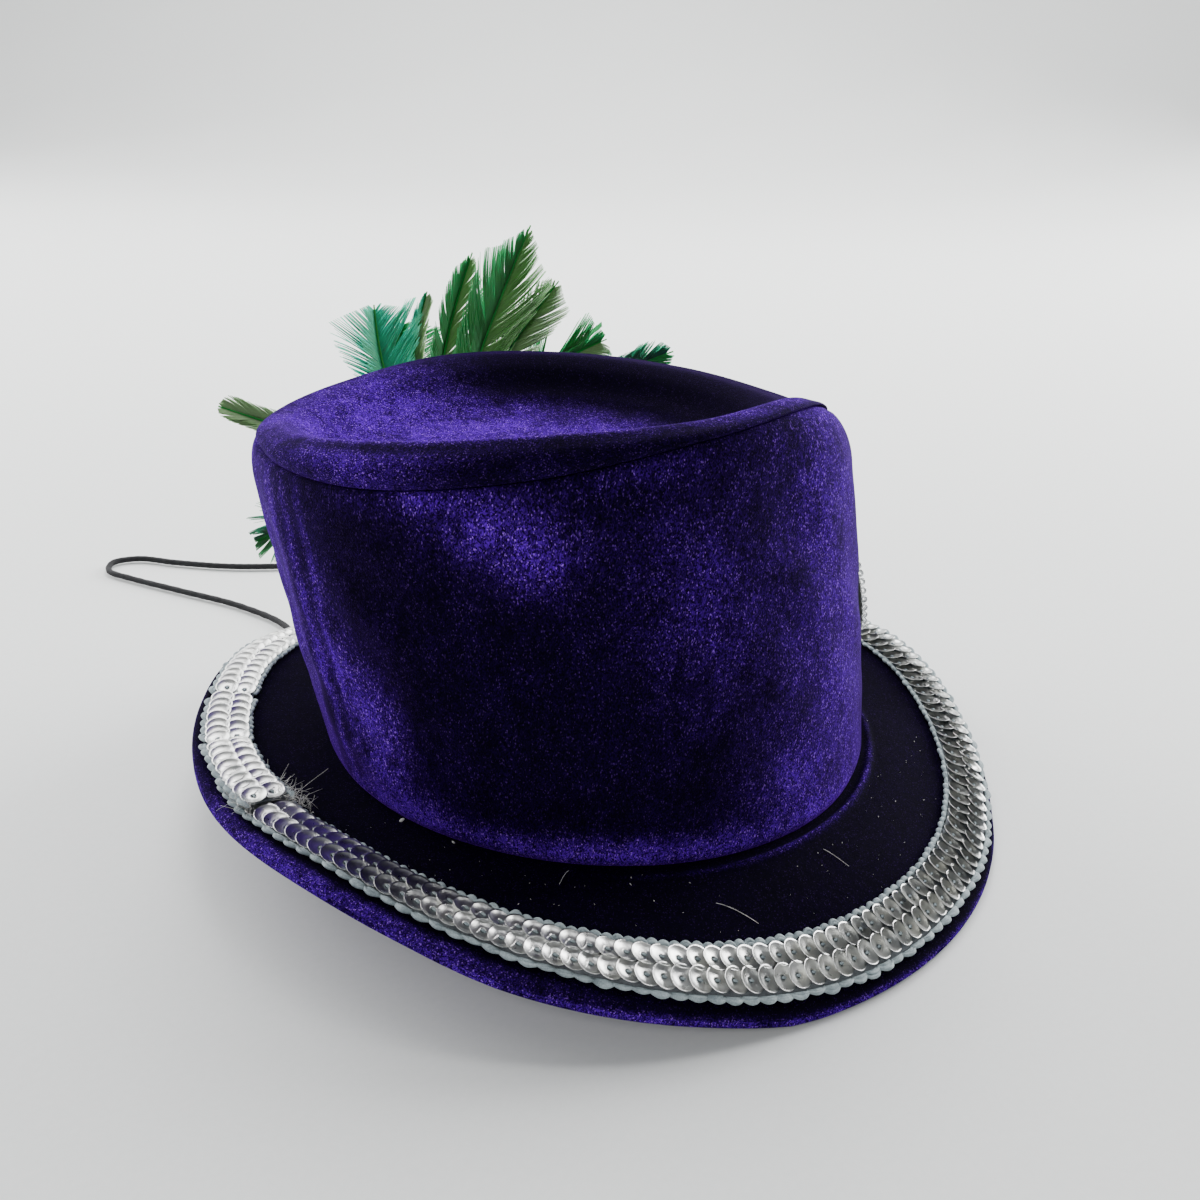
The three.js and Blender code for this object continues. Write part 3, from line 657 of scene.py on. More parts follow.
crown_tip = between_poles("crown_tip_velvet", tip_rings, tip_below, tip_middle, tip_velvet,
                          lay=np.append(tip_lay.T.ravel(), (TIP["under_lay"], tip_lay[0, -1])))
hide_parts("crown_tip")


# Sequin trim: a woven tape laid on the brim and sewn down, with two rows of silver cup sequins that lap
# each other like tiles. Pale thread binds both edges, and the tape's end is laid over its start and frayed.
TRIM = {"width": 0.008, "joint": 180, "overlap": 10, "lift": 0.0019, "lift_from": 345, "lift_to": 355}
SEQUIN = {"radius": 0.00225, "foil": 0.00009, "sides": 22, "pitch": 0.0028, "tilt": 15.5, "height": 0.00035}
SEQUIN_CUP_MM = [(0.42, 0.03), (0.7, 0.0), (1.2, 0.05), (1.65, 0.19), (2.0, 0.36), (2.25, 0.52)]
SEQUIN_ROWS = table("across roll raise_by stagger", (0.285, 5, 0.00012, 0.0), (0.715, -2, 0.0, 0.5))
SEQUIN_STRAY = {"along": 0.05, "tilt": 1.8, "roll": 2.2, "yaw": 3}
SEQUIN_TURNS = table("azimuth across roll flatter", (234, 26, -7, 0.5), (182, 14, 11, 0.4))
HOLE_STITCH = {"size": (0.001, 0.0005, 0.0004), "sides": 8, "rings": 6, "along": 0.0001, "up": 0.00008}
TAPE = {"thickness": 0.0004, "under": 0.00005, "stops": 420, "short": 1.5, "edge": 0.04, "rows": 7}
TAPE_KINKS = table("azimuth gap", (152, 0.0024), (168, 0.0026))
chance = np.random.default_rng(7)


def trim_point(turned, across, up):
    """A point of the trim: degrees from its start, share across from its outer edge, height over the brim."""
    azimuth = TRIM["joint"] + turned
    margin = around(BRIM_EDGE, "margin", azimuth)
    share = 1 - (margin + across * TRIM["width"]) / brim_width(azimuth)
    point = brim_point(azimuth, share, 1.0)
    lapped = ease(turned, TRIM["lift_from"], TRIM["lift_to"]) * TRIM["lift"]
    point[..., 2] += SEAM_GAP + lapped + up
    return point


def trim_axes(turned, across, turn_step=0.25, across_step=0.04):
    """Along, inward and outward-facing directions of the trim's surface, felt over a small step each way."""
    along = unit(trim_point(turned + turn_step, across, 0.0) - trim_point(turned - turn_step, across, 0.0))
    inward = trim_point(turned, across + across_step, 0.0) - trim_point(turned, across - across_step, 0.0)
    normal = unit(np.cross(along, inward))
    return np.stack([along, np.cross(normal, along), normal], axis=1)


def trim_stops(across, pitch, start):
    """Degrees along the trim of things sewn to it a fixed pitch apart, with a wider gap at each kink."""
    turned = np.linspace(0, 360 + TRIM["overlap"], 4000)
    run = run_along(trim_point(turned, across, 0.0))
    for kink in TAPE_KINKS:
        run = run - kink["gap"] * (turned > kink["azimuth"] - TRIM["joint"] + 360)
    return np.interp(np.arange(start, run[-1] - pitch / 2, pitch), np.maximum.accumulate(run), turned)


def revolve(profile, sides):
    """Points and faces of a closed profile of radius and height turned round the axis."""
    angle = full_turn(sides)[:, None]
    radius, height = np.asarray(profile, float).T
    points = np.stack(np.broadcast_arrays(np.cos(angle) * radius, np.sin(angle) * radius, height), axis=-1)
    return points.reshape(-1, 3), grid_faces(sides, len(radius), True)


def spindle(length, width, height, sides, rings, blunt=0.12):
    """Points and faces of a small round-ended stitch along x."""
    theta = np.linspace(blunt, math.pi - blunt, rings)[:, None]
    angle = full_turn(sides)[None]
    points = np.stack(np.broadcast_arrays(
        -np.cos(theta) * length / 2, np.sin(theta) * np.cos(angle) * width / 2,
        np.sin(theta) * np.sin(angle) * height / 2), axis=-1)
    return points.reshape(-1, 3), tube_faces(rings, sides)


def repeat_faces(faces, size, count):
    """The faces of many copies of a shape of this number of points."""
    return [[v + i * size for v in face] for i in range(count) for face in faces]


def copies(shape, places, axes):
    """One shape repeated at many places, each with its own axes; returns joined points and faces."""
    points, faces = shape
    placed = places[:, None] + np.einsum("vj,kji->kvi", points, axes)
    return placed.reshape(-1, 3), repeat_faces(faces, len(points), len(places))


def join(parts):
    """Several sets of points and faces as one."""
    points, faces, count = [], [], 0
    for part_points, part_faces in parts:
        points.append(part_points)
        faces += [[v + count for v in face] for face in part_faces]
        count += len(part_points)
    return np.vstack(points), faces


def swung(first, second, degrees):
    """Two directions swung together, the first towards the second."""
    cos, sin = cos_sin(degrees[:, None])
    return first * cos + second * sin, second * cos - first * sin


def turned_axes(axes, tilt, roll, yaw):
    """Axes turned about their own normal, inward and along directions, in degrees."""
    along, inward, normal = axes[:, 0], axes[:, 1], axes[:, 2]
    along, inward = swung(along, inward, yaw)
    normal, along = swung(normal, along, tilt)
    inward, normal = swung(inward, normal, roll)
    return np.stack([along, inward, normal], axis=1)


sequin_silver, tree, shader = new_material("sequin_silver", Metallic=1.0, Specular_IOR_Level=0.5)
place = object_place(tree)
clouding = noise(tree, place, 350.0, 3.0, 0.6)
feed(tree, shader.inputs["Base Color"], mix_colour(tree, ramp(tree, clouding, 0.35, 0.65),
                                                   (0.66, 0.67, 0.67), (0.8, 0.8, 0.77)))
feed(tree, shader.inputs["Roughness"], ramp(tree, noise(tree, place, 900.0, 2.0), 0.3, 0.7, 0.27, 0.36))

cup = [(r / 1000, h / 1000) for r, h in SEQUIN_CUP_MM]
foil = cup + [(r, h - SEQUIN["foil"]) for r, h in reversed(cup)]
sequin_shape = revolve(foil, SEQUIN["sides"])
stitch_shape = spindle(*HOLE_STITCH["size"], HOLE_STITCH["sides"], HOLE_STITCH["rings"])
sequin_parts = []
stitch_parts = []
for row in SEQUIN_ROWS:
    first_stop = SEQUIN["radius"] + row["stagger"] * SEQUIN["pitch"]
    stops = trim_stops(row["across"], SEQUIN["pitch"], first_stop)
    count = len(stops)
    stops = stops + chance.normal(0, SEQUIN_STRAY["along"], count)
    stray = chance.normal(0, 1, (3, count))
    tilt = SEQUIN["tilt"] + SEQUIN_STRAY["tilt"] * stray[0]
    roll = row["roll"] + SEQUIN_STRAY["roll"] * stray[1]
    for part in SEQUIN_TURNS:
        near = near_spot(TRIM["joint"] + stops, part)
        tilt = tilt * (1 - part["flatter"] * near)
        roll = roll + part["roll"] * near
    leaning = turned_axes(trim_axes(stops, row["across"]), tilt, roll, SEQUIN_STRAY["yaw"] * stray[2])
    height = TAPE["thickness"] + SEQUIN["height"] + row["raise_by"]
    middles = trim_point(stops, row["across"], height)
    holes = middles + leaning[:, 0] * HOLE_STITCH["along"] + leaning[:, 2] * HOLE_STITCH["up"]
    sequin_parts.append(copies(sequin_shape, middles, leaning))
    stitch_parts.append(copies(stitch_shape, holes, leaning))
sequins = add_piece("trim_sequins", *join(sequin_parts), sequin_silver)
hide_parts("sequin_trim")

thread_pale = yarn_material("thread_pale", (0.2, 0.25, 0.27), (0.42, 0.5, 0.52), 4200, Sheen_Weight=0.1)
# The tape's dark grey is painted shade: it shows only in the gaps between the sequins.
tape_weave_painted_shade = yarn_material("tape_weave_painted_shade", (0.08, 0.09, 0.1), (0.2, 0.22, 0.24), 2600)
tape_turns = np.linspace(0, 360 + TRIM["overlap"] - TAPE["short"], TAPE["stops"])[:, None]
tape_across = np.linspace(TAPE["edge"], 1 - TAPE["edge"], TAPE["rows"])[None]
tape_top = trim_point(tape_turns, tape_across, TAPE["thickness"])
tape_under = trim_point(tape_turns, tape_across[:, ::-1], TAPE["under"])
tape_grid = np.concatenate([tape_top, tape_under], axis=1)
tape = add_piece("trim_tape", tape_grid.reshape(-1, 3), tube_faces(*tape_grid.shape[:2]), tape_weave_painted_shade)

SCALLOPS = table(
    "across pitch reach arcs thread up", (0.02, 0.0029, -0.0009, 3, 0.0003, 0.0003),
    (0.98, 0.0018, 0.0006, 2, 0.0003, 0.0004),
)
SCALLOP = {
    "start": 0.001, "points": 9, "sides": 6, "narrow": 0.7, "wider": 0.5, "rise": 0.9, "slim": 0.8,
    "fuller": 0.4,
}
SCALLOP_STRAY = {"bulge": (0.75, 1.2), "turn": 0.06, "up": (-0.3, 0.5), "across": 0.008}
share = np.linspace(0, 1, SCALLOP["points"])
arch = np.sin(math.pi * share)
for edge in SCALLOPS:
    stops = trim_stops(edge["across"], edge["pitch"], SCALLOP["start"])
    step = np.median(np.diff(stops))
    thickness = edge["thread"] * (SCALLOP["slim"] + SCALLOP["fuller"] * arch)
    for stop in stops:
        bulge = chance.uniform(*SCALLOP_STRAY["bulge"])
        for arc in range(edge["arcs"]):
            nested = (arc + 1) / edge["arcs"]
            opened = step * (SCALLOP["narrow"] + SCALLOP["wider"] * nested)
            turned = stop + (share - 0.5) * opened + chance.normal(0, SCALLOP_STRAY["turn"])
            reach = edge["reach"] * bulge * nested * arch / TRIM["width"]
            up = edge["up"] + edge["thread"] * (SCALLOP["rise"] * arch + chance.uniform(*SCALLOP_STRAY["up"]))
            across = edge["across"] + reach + chance.normal(0, SCALLOP_STRAY["across"])
            stitch_parts.append(sweep(trim_point(turned, across, up), thickness, SCALLOP["sides"]))
threads = add_piece("trim_threads", *join(stitch_parts), thread_pale)

FRAY = table(
    "strands turned spread across deep length curl", (130, 368, 4.5, 0.96, 0.1, 0.0013, 1.9),
    (60, 368, 3, 0.0, 0.1, 0.0016, 1.2), (10, 370, 3, 0.85, 0.2, 0.004, 0.8),
)
FRAY_LEAN = ((0.4, 0.6), (0.7, 0.5), (0.4, 0.3))
STRAND = {
    "radius": 0.000035, "thin": 0.6, "points": 7, "sides": 4, "up": 0.0006, "bend": 0.6, "lengths": (0.4, 1),
}
thread_loose = yarn_material("thread_loose", (0.5, 0.5, 0.48), (0.85, 0.84, 0.8), 3000)
fray_parts = []
share = np.linspace(0, 1, STRAND["points"])[:, None]
strand_radius = np.linspace(1, STRAND["thin"], STRAND["points"]) * STRAND["radius"]
for tuft in FRAY:
    axes = trim_axes(np.array([tuft["turned"]]), tuft["across"])[0]
    outwards = (1, 1 if tuft["across"] > 0.5 else -1, 1)
    for _ in range(tuft["strands"]):
        turned = tuft["turned"] + chance.normal(0, tuft["spread"] / 2)
        start = trim_point(turned, tuft["across"] + chance.normal(0, tuft["deep"]), STRAND["up"])
        reach = unit(np.array([chance.normal(*lean) for lean in FRAY_LEAN]) * outwards)
        bend = chance.normal(0, STRAND["bend"], 3) * tuft["curl"]
        line = (reach * share + bend * share * share) * tuft["length"] * chance.uniform(*STRAND["lengths"])
        fray_parts.append(sweep(start + line @ axes, strand_radius, STRAND["sides"]))
fray = add_piece("trim_fray", *join(fray_parts), thread_loose)


# Feather plume: dyed feathers on a small sewn pad behind the crown. Each has a tapering quill and two
# vanes of soft barbs that sweep towards the tip, cling together in locks and part between them.
PLUME = {"azimuth": 94, "height": 0.044, "root": 0.55, "belly_limit": 0.07}
PLUME_PAD = {
    "across": 0.009, "up": 0.012, "depth": 0.004, "fall": 0.45, "inner": 0.1, "rows": 10, "sides": 48,
}
QUILL = {"points": 24, "ends": (0.01, 0.99), "root": 0.0004, "tip": 0.00018, "sides": 6}
VANE = {
    "start": 0.06, "end": 0.96, "lean_root": 62, "lean_tip": 28, "lean_limits": (0.12, 1.4), "leaning": 0.8,
    "least": 0.1, "fullness": 0.6, "dish": 0.1,
}
LOCK = {
    "barbs": (8, 30), "swing": 0.035, "longer": 0.03, "length_limits": (0.7, 1.15), "curl": 0.08,
    "curl_limits": (-0.8, 1), "lift": 0.06, "lift_limits": (-0.5, 0.5), "cling": 0.2,
}
BARB = {
    "pitch": 0.00021, "width": 0.00018, "taper": 0.75, "thickness": 0.00003, "points": 6, "stray": 0.022,
    "lengths": (0.9, 1.06), "shades": (0.85, 1.1), "root_shade": 0.85, "tip_lighter": 0.25,
}
DOWN = {"from": 0.35, "to": 0.62, "longer": 0.3, "stray": 0.22}
DYES = {
    "teal": (0.006, 0.66, 0.25), "green": (0.006, 0.33, 0.024), "dark": (0.004, 0.12, 0.03),
    "olive": (0.1, 0.52, 0.05), "pale": (0.3, 0.64, 0.19),
}
FEATHERS = table(
    "azimuth reach height bow left right left_dye right_dye fullest spread sweep point parted",
    (78, 0.066, 0.0995, 0.007, 0.0095, 0.0105, "green", "olive", 0.72, 1.0, 0.5, 0.82, 0.3),
    (89, 0.068, 0.0935, 0.009, 0.004, 0.0085, "green", "olive", 0.64, 0.9, 0.4, 0.8, 0.4),
    (72, 0.067, 0.087, 0.009, 0.005, 0.006, "olive", "pale", 0.7, 1.0, 0.3, 0.9, 0.5),
    (107, 0.073, 0.083, 0.007, 0.0095, 0.011, "teal", "teal", 0.82, 1.18, -0.05, 1.15, 0.25),
    (97, 0.071, 0.085, 0.011, 0.002, 0.0025, "teal", "pale", 0.6, 0.6, 0.3, 0.9, 0.4),
    (100, 0.075, 0.078, 0.014, 0.006, 0.01, "teal", "green", 0.8, 1.3, -0.3, 1.1, 0.8),
    (62, 0.07, 0.073, 0.014, 0.005, 0.006, "green", "pale", 0.65, 0.8, -0.4, 1.1, 1.0),
    (48, 0.062, 0.073, 0.008, 0.004, 0.005, "dark", "green", 0.7, 1.0, 0.3, 0.9, 0.6),
    (132, 0.086, 0.0655, 0.009, 0.003, 0.0035, "pale", "pale", 0.65, 0.8, 0.6, 0.8, 0.4),
    (130, 0.082, 0.035, 0.011, 0.005, 0.006, "green", "dark", 0.65, 0.9, 0.4, 0.9, 1.0),
    (112, 0.076, 0.026, 0.009, 0.007, 0.007, "dark", "green", 0.6, 1.0, 0.4, 0.9, 0.8),
    (80, 0.072, 0.06, 0.013, 0.008, 0.008, "green", "teal", 0.65, 1.0, 0.4, 0.9, 0.8),
)


def outward(azimuth):
    return np.array([math.cos(math.radians(azimuth)), math.sin(math.radians(azimuth)), 0])


def feather_spine(feather, share):
    """Points, directions and vane axes of a feather's quill at shares of its length."""
    root = on_side(PLUME["azimuth"], PLUME["height"], PLUME_PAD["depth"] * PLUME["root"])
    tip = outward(feather["azimuth"]) * feather["reach"] + (0, 0, feather["height"])
    halfway = (PLUME["azimuth"] + feather["azimuth"]) / 2
    belly = (PLUME["height"] + min(feather["height"], PLUME["belly_limit"])) / 2
    middle = on_side(halfway, belly, 2 * feather["bow"])
    share = np.asarray(share)[:, None]
    points = root * (1 - share) ** 2 + middle * 2 * share * (1 - share) + tip * share ** 2
    along = unit(2 * (middle - root) * (1 - share) + 2 * (tip - middle) * share)
    facing = unit((points - (TOP_CENTRE[0] / 2, 0, 0)) * (1, 1, 0))
    side = unit(np.cross(along, facing))
    return points, along, side, np.cross(side, along)


def vane(feather, length, hand, reach, dye):
    """Points, faces and dyes of one vane, hand 1 on the left and -1 on the right as seen from the front."""
    count = int(length / BARB["pitch"])
    share = np.linspace(VANE["start"], VANE["end"], count)
    points, along, side, depth = feather_spine(feather, share)
    lock = np.repeat(np.arange(count), chance.integers(*LOCK["barbs"], count))[:count]
    leader = (np.searchsorted(lock, lock) + np.searchsorted(lock, lock, side="right") - 1) // 2
    swing, lift, longer, curl = feather["parted"] * chance.normal(0, 1, (4, count))[:, lock] ** 3
    lean = np.radians(blend(VANE["lean_root"], VANE["lean_tip"], share)) * feather["spread"]
    down = 1 - ease(share, DOWN["from"], DOWN["to"])
    stray = chance.normal(0, BARB["stray"] + DOWN["stray"] * down, count)
    lean = np.clip(lean + LOCK["swing"] * swing + stray, *VANE["lean_limits"])
    form = np.sin(math.pi * share ** (math.log(0.5) / math.log(feather["fullest"])))
    size = reach * np.maximum(VANE["least"], form) ** VANE["fullness"] / np.sin(VANE["leaning"] * lean)
    size = size * np.clip(1 + LOCK["longer"] * longer, *LOCK["length_limits"])
    size = size * chance.uniform(*BARB["lengths"], count) * (1 + DOWN["longer"] * down)
    size = np.minimum(size, feather["point"] * (1 - share) * length / np.cos(VANE["leaning"] * lean))
    step = np.linspace(0, 1, BARB["points"])
    sweeping = np.clip(feather["sweep"] + LOCK["curl"] * curl, *LOCK["curl_limits"])
    angle = lean[:, None] * (1 - sweeping[:, None] * step)
    bend = np.clip(LOCK["lift"] * lift, *LOCK["lift_limits"])[:, None] * step - VANE["dish"]
    heading = (along[:, None] * np.cos(angle)[..., None] + hand * side[:, None] * np.sin(angle)[..., None]
               + depth[:, None] * bend[..., None])
    lines = np.cumsum(heading, axis=1) - heading[:, :1]
    lines = points[:, None] + lines * (size / (BARB["points"] - 1))[:, None, None]
    lines += (lines[leader] - lines) * (LOCK["cling"] * step ** 2)[:, None]
    half_width = BARB["width"] * (1 - BARB["taper"] * step ** 2)
    across = unit(np.cross(depth[:, None], heading)) * half_width[:, None]
    over = depth[:, None] * BARB["thickness"]
    corners = np.stack([lines + across, lines + over, lines - across], axis=2)
    faces = repeat_faces(tube_faces(BARB["points"], 3), 3 * BARB["points"], count)
    lighter = BARB["root_shade"] + BARB["tip_lighter"] * step
    shade = chance.uniform(*BARB["shades"], count)[:, None] * lighter
    dyed = np.repeat(shade[..., None, None] * np.array((*DYES[dye], 1.0)), 3, axis=2)
    return (corners.reshape(-1, 3), faces), dyed.reshape(-1, 4)


feather_dyed, tree, shader = new_material(
    "feather_dyed", Specular_IOR_Level=0.25, Sheen_Weight=0.05, Subsurface_Weight=0.4,
    Subsurface_Radius=(0.6, 1.0, 0.7), Subsurface_Scale=0.0007, Transmission_Weight=0.25,
)
fibre = use_group(tree, yarn_fibre, Place=object_place(tree), Scale=3000.0, Shade=(0.78, 0.78, 0.78),
                  Light=(1, 1, 1))
dye = mesh_values(tree, "dye").outputs["Color"]
feed(tree, shader.inputs["Base Color"], mix_colour(tree, 1.0, dye, fibre.outputs["Color"], "MULTIPLY"))
feed(tree, shader.inputs["Roughness"], ramp(tree, fibre.outputs["Height"], 0.3, 0.7, 0.45, 0.7))

quill_radius = np.linspace(QUILL["root"], QUILL["tip"], QUILL["points"])
plume_parts = []
plume_dyes = []
for feather in FEATHERS:
    quill, *_ = feather_spine(feather, np.linspace(*QUILL["ends"], QUILL["points"]))
    plume_parts.append(sweep(quill, quill_radius, QUILL["sides"]))
    plume_dyes.append(np.tile((*DYES["green"], 1.0), (len(plume_parts[-1][0]), 1)))
    length = np.linalg.norm(np.diff(quill, axis=0), axis=1).sum()
    for hand, key in ((1, "left"), (-1, "right")):
        part, dyed = vane(feather, length, hand, feather[key], feather[key + "_dye"])
        plume_parts.append(part)
        plume_dyes.append(dyed)
plume = add_piece("plume_feathers", *join(plume_parts), feather_dyed, dye=np.vstack(plume_dyes))
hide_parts("feather_plume")


def beside_spot(spot, across, up, turn, standoff):
    """A point off the crown's side, this far across and up from a spot on it in the direction of the turn."""
    radius = (CROWN["base_side"] + CROWN["base_end"]) / 2
    swing = np.degrees(across * np.cos(turn) / radius)
    return on_side(spot["azimuth"] + swing, spot["height"] + up * np.sin(turn), standoff)


def side_pad(name, spot, across, up, shares, depths, sides, material, gap=0.0001, back_end=0.2, back_rows=6):
    """A closed pad on the crown's side: its domed face and its plain back."""
    turn = full_turn(sides)[:, None]
    back_shares = np.linspace(1, back_end, back_rows)
    rings = [
        beside_spot(spot, share[None] * across, share[None] * up, turn, SEAM_GAP + gap + depth)
        for share, depth in ((shares, depths), (back_shares, 0))
    ]
    middle = [on_side(spot["azimuth"], spot["height"], SEAM_GAP + gap + depth) for depth in (depths[0], 0)]
    return between_poles(name, np.concatenate(rings, axis=1), *middle, material)


plume_felt = yarn_material("plume_felt", (0.004, 0.006, 0.005), (0.015, 0.02, 0.017), 1800)
pad_shares = np.linspace(PLUME_PAD["inner"], 1, PLUME_PAD["rows"])
pad_depths = PLUME_PAD["depth"] * (1 - PLUME_PAD["fall"] * pad_shares ** 2)
plume_pad = side_pad("plume_pad", PLUME, PLUME_PAD["across"], PLUME_PAD["up"], pad_shares, pad_depths,
                     PLUME_PAD["sides"], plume_felt)


# Bead medallion: a round ornament sewn to the crown's decorated side. A black felt backing is edged with
# clear glass seed beads, their holes facing outwards, round rings of black glass beads.
MEDALLION = {"azimuth": -19, "height": 0.038, "radius": 0.009}
BACKING = {"under_beads": 0.0011, "least": 0.0004, "inner": 0.08, "rows": 24, "sides": 72}
BEAD = {
    "size": 0.0016, "middle": 0.34, "wall": 0.16, "half_height": 0.3, "section": 8, "sides": 16,
    "apart": 1.03, "sunk": 0.0008, "stray": 0.1, "ring_turn": 5, "step": 0.05,
}
MEDALLION_SECTION = table(
    "share depth", (0.25, 0.0024), (0.5, 0.0021), (0.74, 0.0017), (0.84, 0.0022), (0.95, 0.0022), (1, 0.0012)
)
BEAD_RINGS = table(
    "share holes_out glass", (0.92, True, "clear"), (0.72, False, "black"), (0.52, False, "black"),
    (0.32, False, "black"), (0.12, False, "black"),
)
section_share = np.array([row["share"] for row in MEDALLION_SECTION])
section_depth = np.array([row["depth"] for row in MEDALLION_SECTION])


def bead_place(share, turn):
    """The middle of a bead, at a share of the medallion's radius and a turn round it."""
    out = share * MEDALLION["radius"]
    standoff = SEAM_GAP + np.interp(share, section_share, section_depth) - BEAD["sunk"]
    return beside_spot(MEDALLION, out, out, turn, standoff)


def glass_material(name, low, high, transmission):
    material, tree, shader = new_material(
        name, Specular_IOR_Level=0.6, Coat_Weight=0.5, Coat_Roughness=0.05, Transmission_Weight=transmission
    )
    place = object_place(tree)
    feed(tree, shader.inputs["Base Color"], mix_colour(tree, noise(tree, place, 500.0), low, high))
    feed(tree, shader.inputs["Roughness"], ramp(tree, noise(tree, place, 800.0), 0.3, 0.7, 0.04, 0.2))
    return material


bead_materials = {
    "clear": glass_material("bead_clear", (0.75, 0.8, 0.82), (0.95, 0.96, 0.96), 0.7),
    "black": glass_material("bead_black", (0.003, 0.003, 0.004), (0.02, 0.02, 0.025), 0.0),
}
backing_shares = np.linspace(BACKING["inner"], 1, BACKING["rows"])
backing_depths = np.interp(backing_shares, section_share, section_depth) - BACKING["under_beads"]
backing_depths = np.maximum(backing_depths, BACKING["least"])
medallion = side_pad("medallion_backing", MEDALLION, MEDALLION["radius"], MEDALLION["radius"],
                     backing_shares, backing_depths, BACKING["sides"], plume_felt)
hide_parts("bead_medallion")
section_turn = full_turn(BEAD["section"])
bead_profile = np.stack([
    BEAD["middle"] + BEAD["wall"] * np.cos(section_turn), BEAD["half_height"] * np.sin(section_turn)
], axis=1)
bead_shape = revolve(bead_profile * BEAD["size"], BEAD["sides"])
bead_parts = {"clear": [], "black": []}
for row in BEAD_RINGS:
    count = max(3, int(2 * math.pi * row["share"] * MEDALLION["radius"] / (BEAD["size"] * BEAD["apart"])))
    turn = full_turn(count) + BEAD["ring_turn"] * row["share"]
    before, middle, after = (bead_place(row["share"], turn + way * BEAD["step"]) for way in (-1, 0, 1))
    tangent = unit(after - before)
    normal = unit(outward(MEDALLION["azimuth"]) + chance.normal(0, BEAD["stray"], (count, 3)))
    normal = unit(normal - tangent * np.sum(normal * tangent, axis=1, keepdims=True))
    radial = np.cross(tangent, normal)
    axes = [tangent, normal, radial] if row["holes_out"] else [normal, radial, tangent]
    bead_parts[row["glass"]].append(copies(bead_shape, middle, np.stack(axes, axis=1)))
for glass, parts in bead_parts.items():
    beads = add_piece("medallion_" + glass + "_beads", *join(parts), bead_materials[glass])


# Lint: pale specks, small tufts and a few short hairs of loose cotton, clinging to the velvet of the brim and
# the foot of the crown. Each lies on the pile and is turned its own way.
LINT = {
    "specks": 90, "azimuth": (196, 335), "share": (0.12, 0.6), "size": 0.00016, "sizes": (0.5, 1.3),
    "up": 0.35,
}
LINT_SHAPE = {"size": (1.4, 0.8, 0.6), "sides": 6, "rings": 5}
LINT_TUFTS = table("azimuth share size", (203, 0.1, 0.0007), (215, 0.1, 0.0008), (247, 0.2, 0.0004))
LINT_HAIR = {"radius": 0.00004, "points": 12, "sides": 5, "bow": 0.6, "up": 0.0002}
LINT_HAIRS = table(
    "azimuth share turn length", (262, 0.42, 35, 0.008), (236, 0.16, 120, 0.004), (285, 0.3, 75, 0.005),
)
specks = {key: chance.uniform(*LINT[key], LINT["specks"]) for key in ("azimuth", "share", "sizes")}
specks["size"] = LINT["size"] * specks["sizes"]
lint_azimuth, lint_share, lint_size = (
    np.append(specks[key], [tuft[key] for tuft in LINT_TUFTS]) for key in ("azimuth", "share", "size")
)
lint_axes = unit(chance.normal(0, 1, (len(lint_size), 3, 3))) * lint_size[:, None, None]
lint_places = brim_point(lint_azimuth, lint_share, 1.0) + np.outer(lint_size, (0, 0, LINT["up"]))
lint_shape = spindle(*LINT_SHAPE["size"], LINT_SHAPE["sides"], LINT_SHAPE["rings"])
lint_parts = [copies(lint_shape, lint_places, lint_axes)]
share = np.linspace(-0.5, 0.5, LINT_HAIR["points"])
hair_radius = np.full(LINT_HAIR["points"], LINT_HAIR["radius"])
for row in LINT_HAIRS:
    along = math.cos(math.radians(row["turn"])) * share * row["length"]
    out = math.sin(math.radians(row["turn"])) * (share + LINT_HAIR["bow"] * share ** 2) * row["length"]
    azimuth = row["azimuth"] + np.degrees(along / BRIM_EDGE[0]["reach"])
    line = brim_point(azimuth, row["share"] + out / brim_width(row["azimuth"]), 1.0)
    lint_parts.append(sweep(line + (0, 0, LINT_HAIR["up"]), hair_radius, LINT_HAIR["sides"]))
lint = add_piece("velvet_lint", *join(lint_parts), thread_loose)


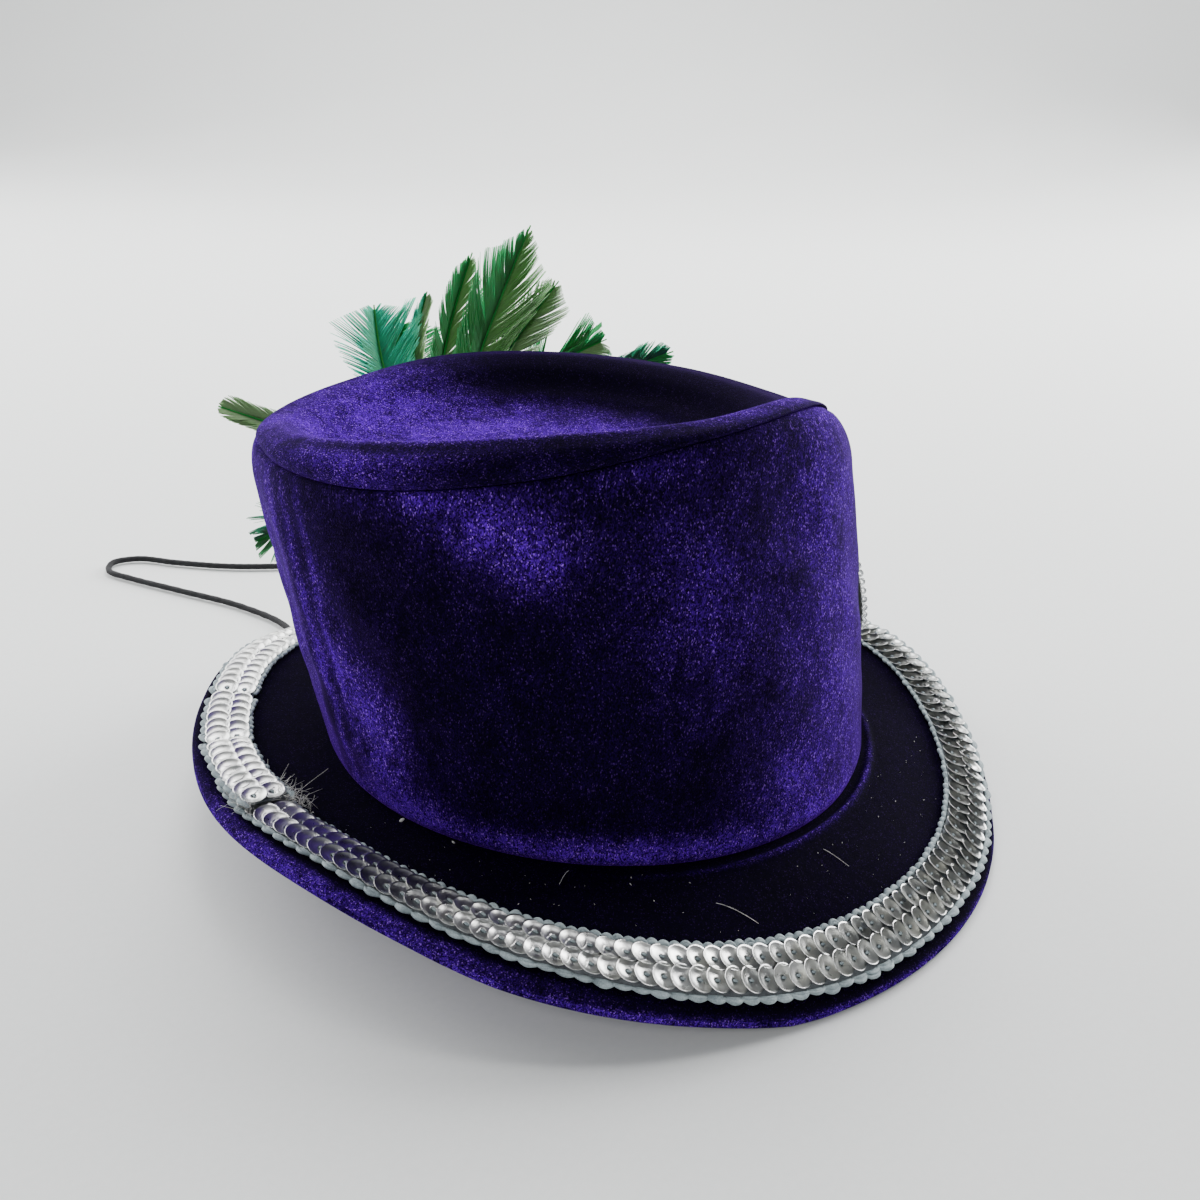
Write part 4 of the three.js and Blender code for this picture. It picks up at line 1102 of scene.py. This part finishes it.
# Studio: a plain pale floor that rises into a pale backdrop far behind. A large soft light stands behind the
# hat on each side and one hangs high behind it, with a weak one in front and one turned to the backdrop.
FLOOR = {"half": 2.4, "rise_from": 0.7, "rise": 1.6, "under": 0.0002, "rows": 41}
ROOM_LIGHT = {"Color": (0.86, 0.9, 0.95), "Strength": 0.2}
LIGHTS = table(
    "name across back up aim_back size spread power",
    ("right_softbox", 0.95, 0.75, 0.45, 0.0, 0.9, 140, 18.0),
    ("left_softbox", -0.9, 0.5, 0.45, 0.0, 0.9, 140, 9.5),
    ("overhead_softbox", -0.1, 0.75, 0.95, 0.0, 0.6, 160, 7.0),
    ("front_fill", -0.3, -1.0, 0.8, 0.0, 0.6, 160, 4.2),
    ("backdrop_light", 0.0, 0.5, 1.3, 1.9, 1.2, 160, 25.0),
)
floor_pale, tree, shader = new_material("floor_pale", Roughness=0.7, Specular_IOR_Level=0.2)
feed(tree, shader.inputs["Base Color"], mix_colour(tree, noise(tree, object_place(tree), 900.0, 3.0),
                                                   (0.84, 0.86, 0.85), (0.9, 0.91, 0.9)))
floor_rows = np.linspace(-FLOOR["half"], FLOOR["half"], FLOOR["rows"])
floor_x, floor_y = np.meshgrid(floor_rows, floor_rows, indexing="ij")
away = level.x * floor_x + level.y * floor_y
floor_z = FLOOR["rise"] * ease(away, FLOOR["rise_from"], FLOOR["half"]) ** 2 - FLOOR["under"]
floor_mesh = bpy.data.meshes.new("floor")
floor_points = np.stack([floor_x, floor_y, floor_z], axis=-1).reshape(-1, 3)
floor_mesh.from_pydata(floor_points.tolist(), [], grid_faces(FLOOR["rows"], FLOOR["rows"], False, False))
floor_mesh.polygons.foreach_set("use_smooth", np.ones(len(floor_mesh.polygons), bool))
floor_mesh.materials.append(floor_pale)
floor = bpy.data.objects.new("floor", floor_mesh)
bpy.context.scene.collection.objects.link(floor)
for row in LIGHTS:
    light = bpy.data.lights.new(row["name"], "AREA")
    light.energy = row["power"]
    light.size = row["size"]
    light.spread = math.radians(row["spread"])
    lamp = bpy.data.objects.new(row["name"], light)
    lamp.location = right * row["across"] + level * row["back"] + Vector((0, 0, row["up"]))
    towards = VIEW_AIM + level * row["aim_back"] - lamp.location
    lamp.rotation_euler = towards.to_track_quat("-Z", "Y").to_euler()
    bpy.context.scene.collection.objects.link(lamp)
world = bpy.data.worlds.new("studio")
world.use_nodes = True
feed_all(world.node_tree, world.node_tree.nodes["Background"], ROOM_LIGHT)
bpy.context.scene.world = world
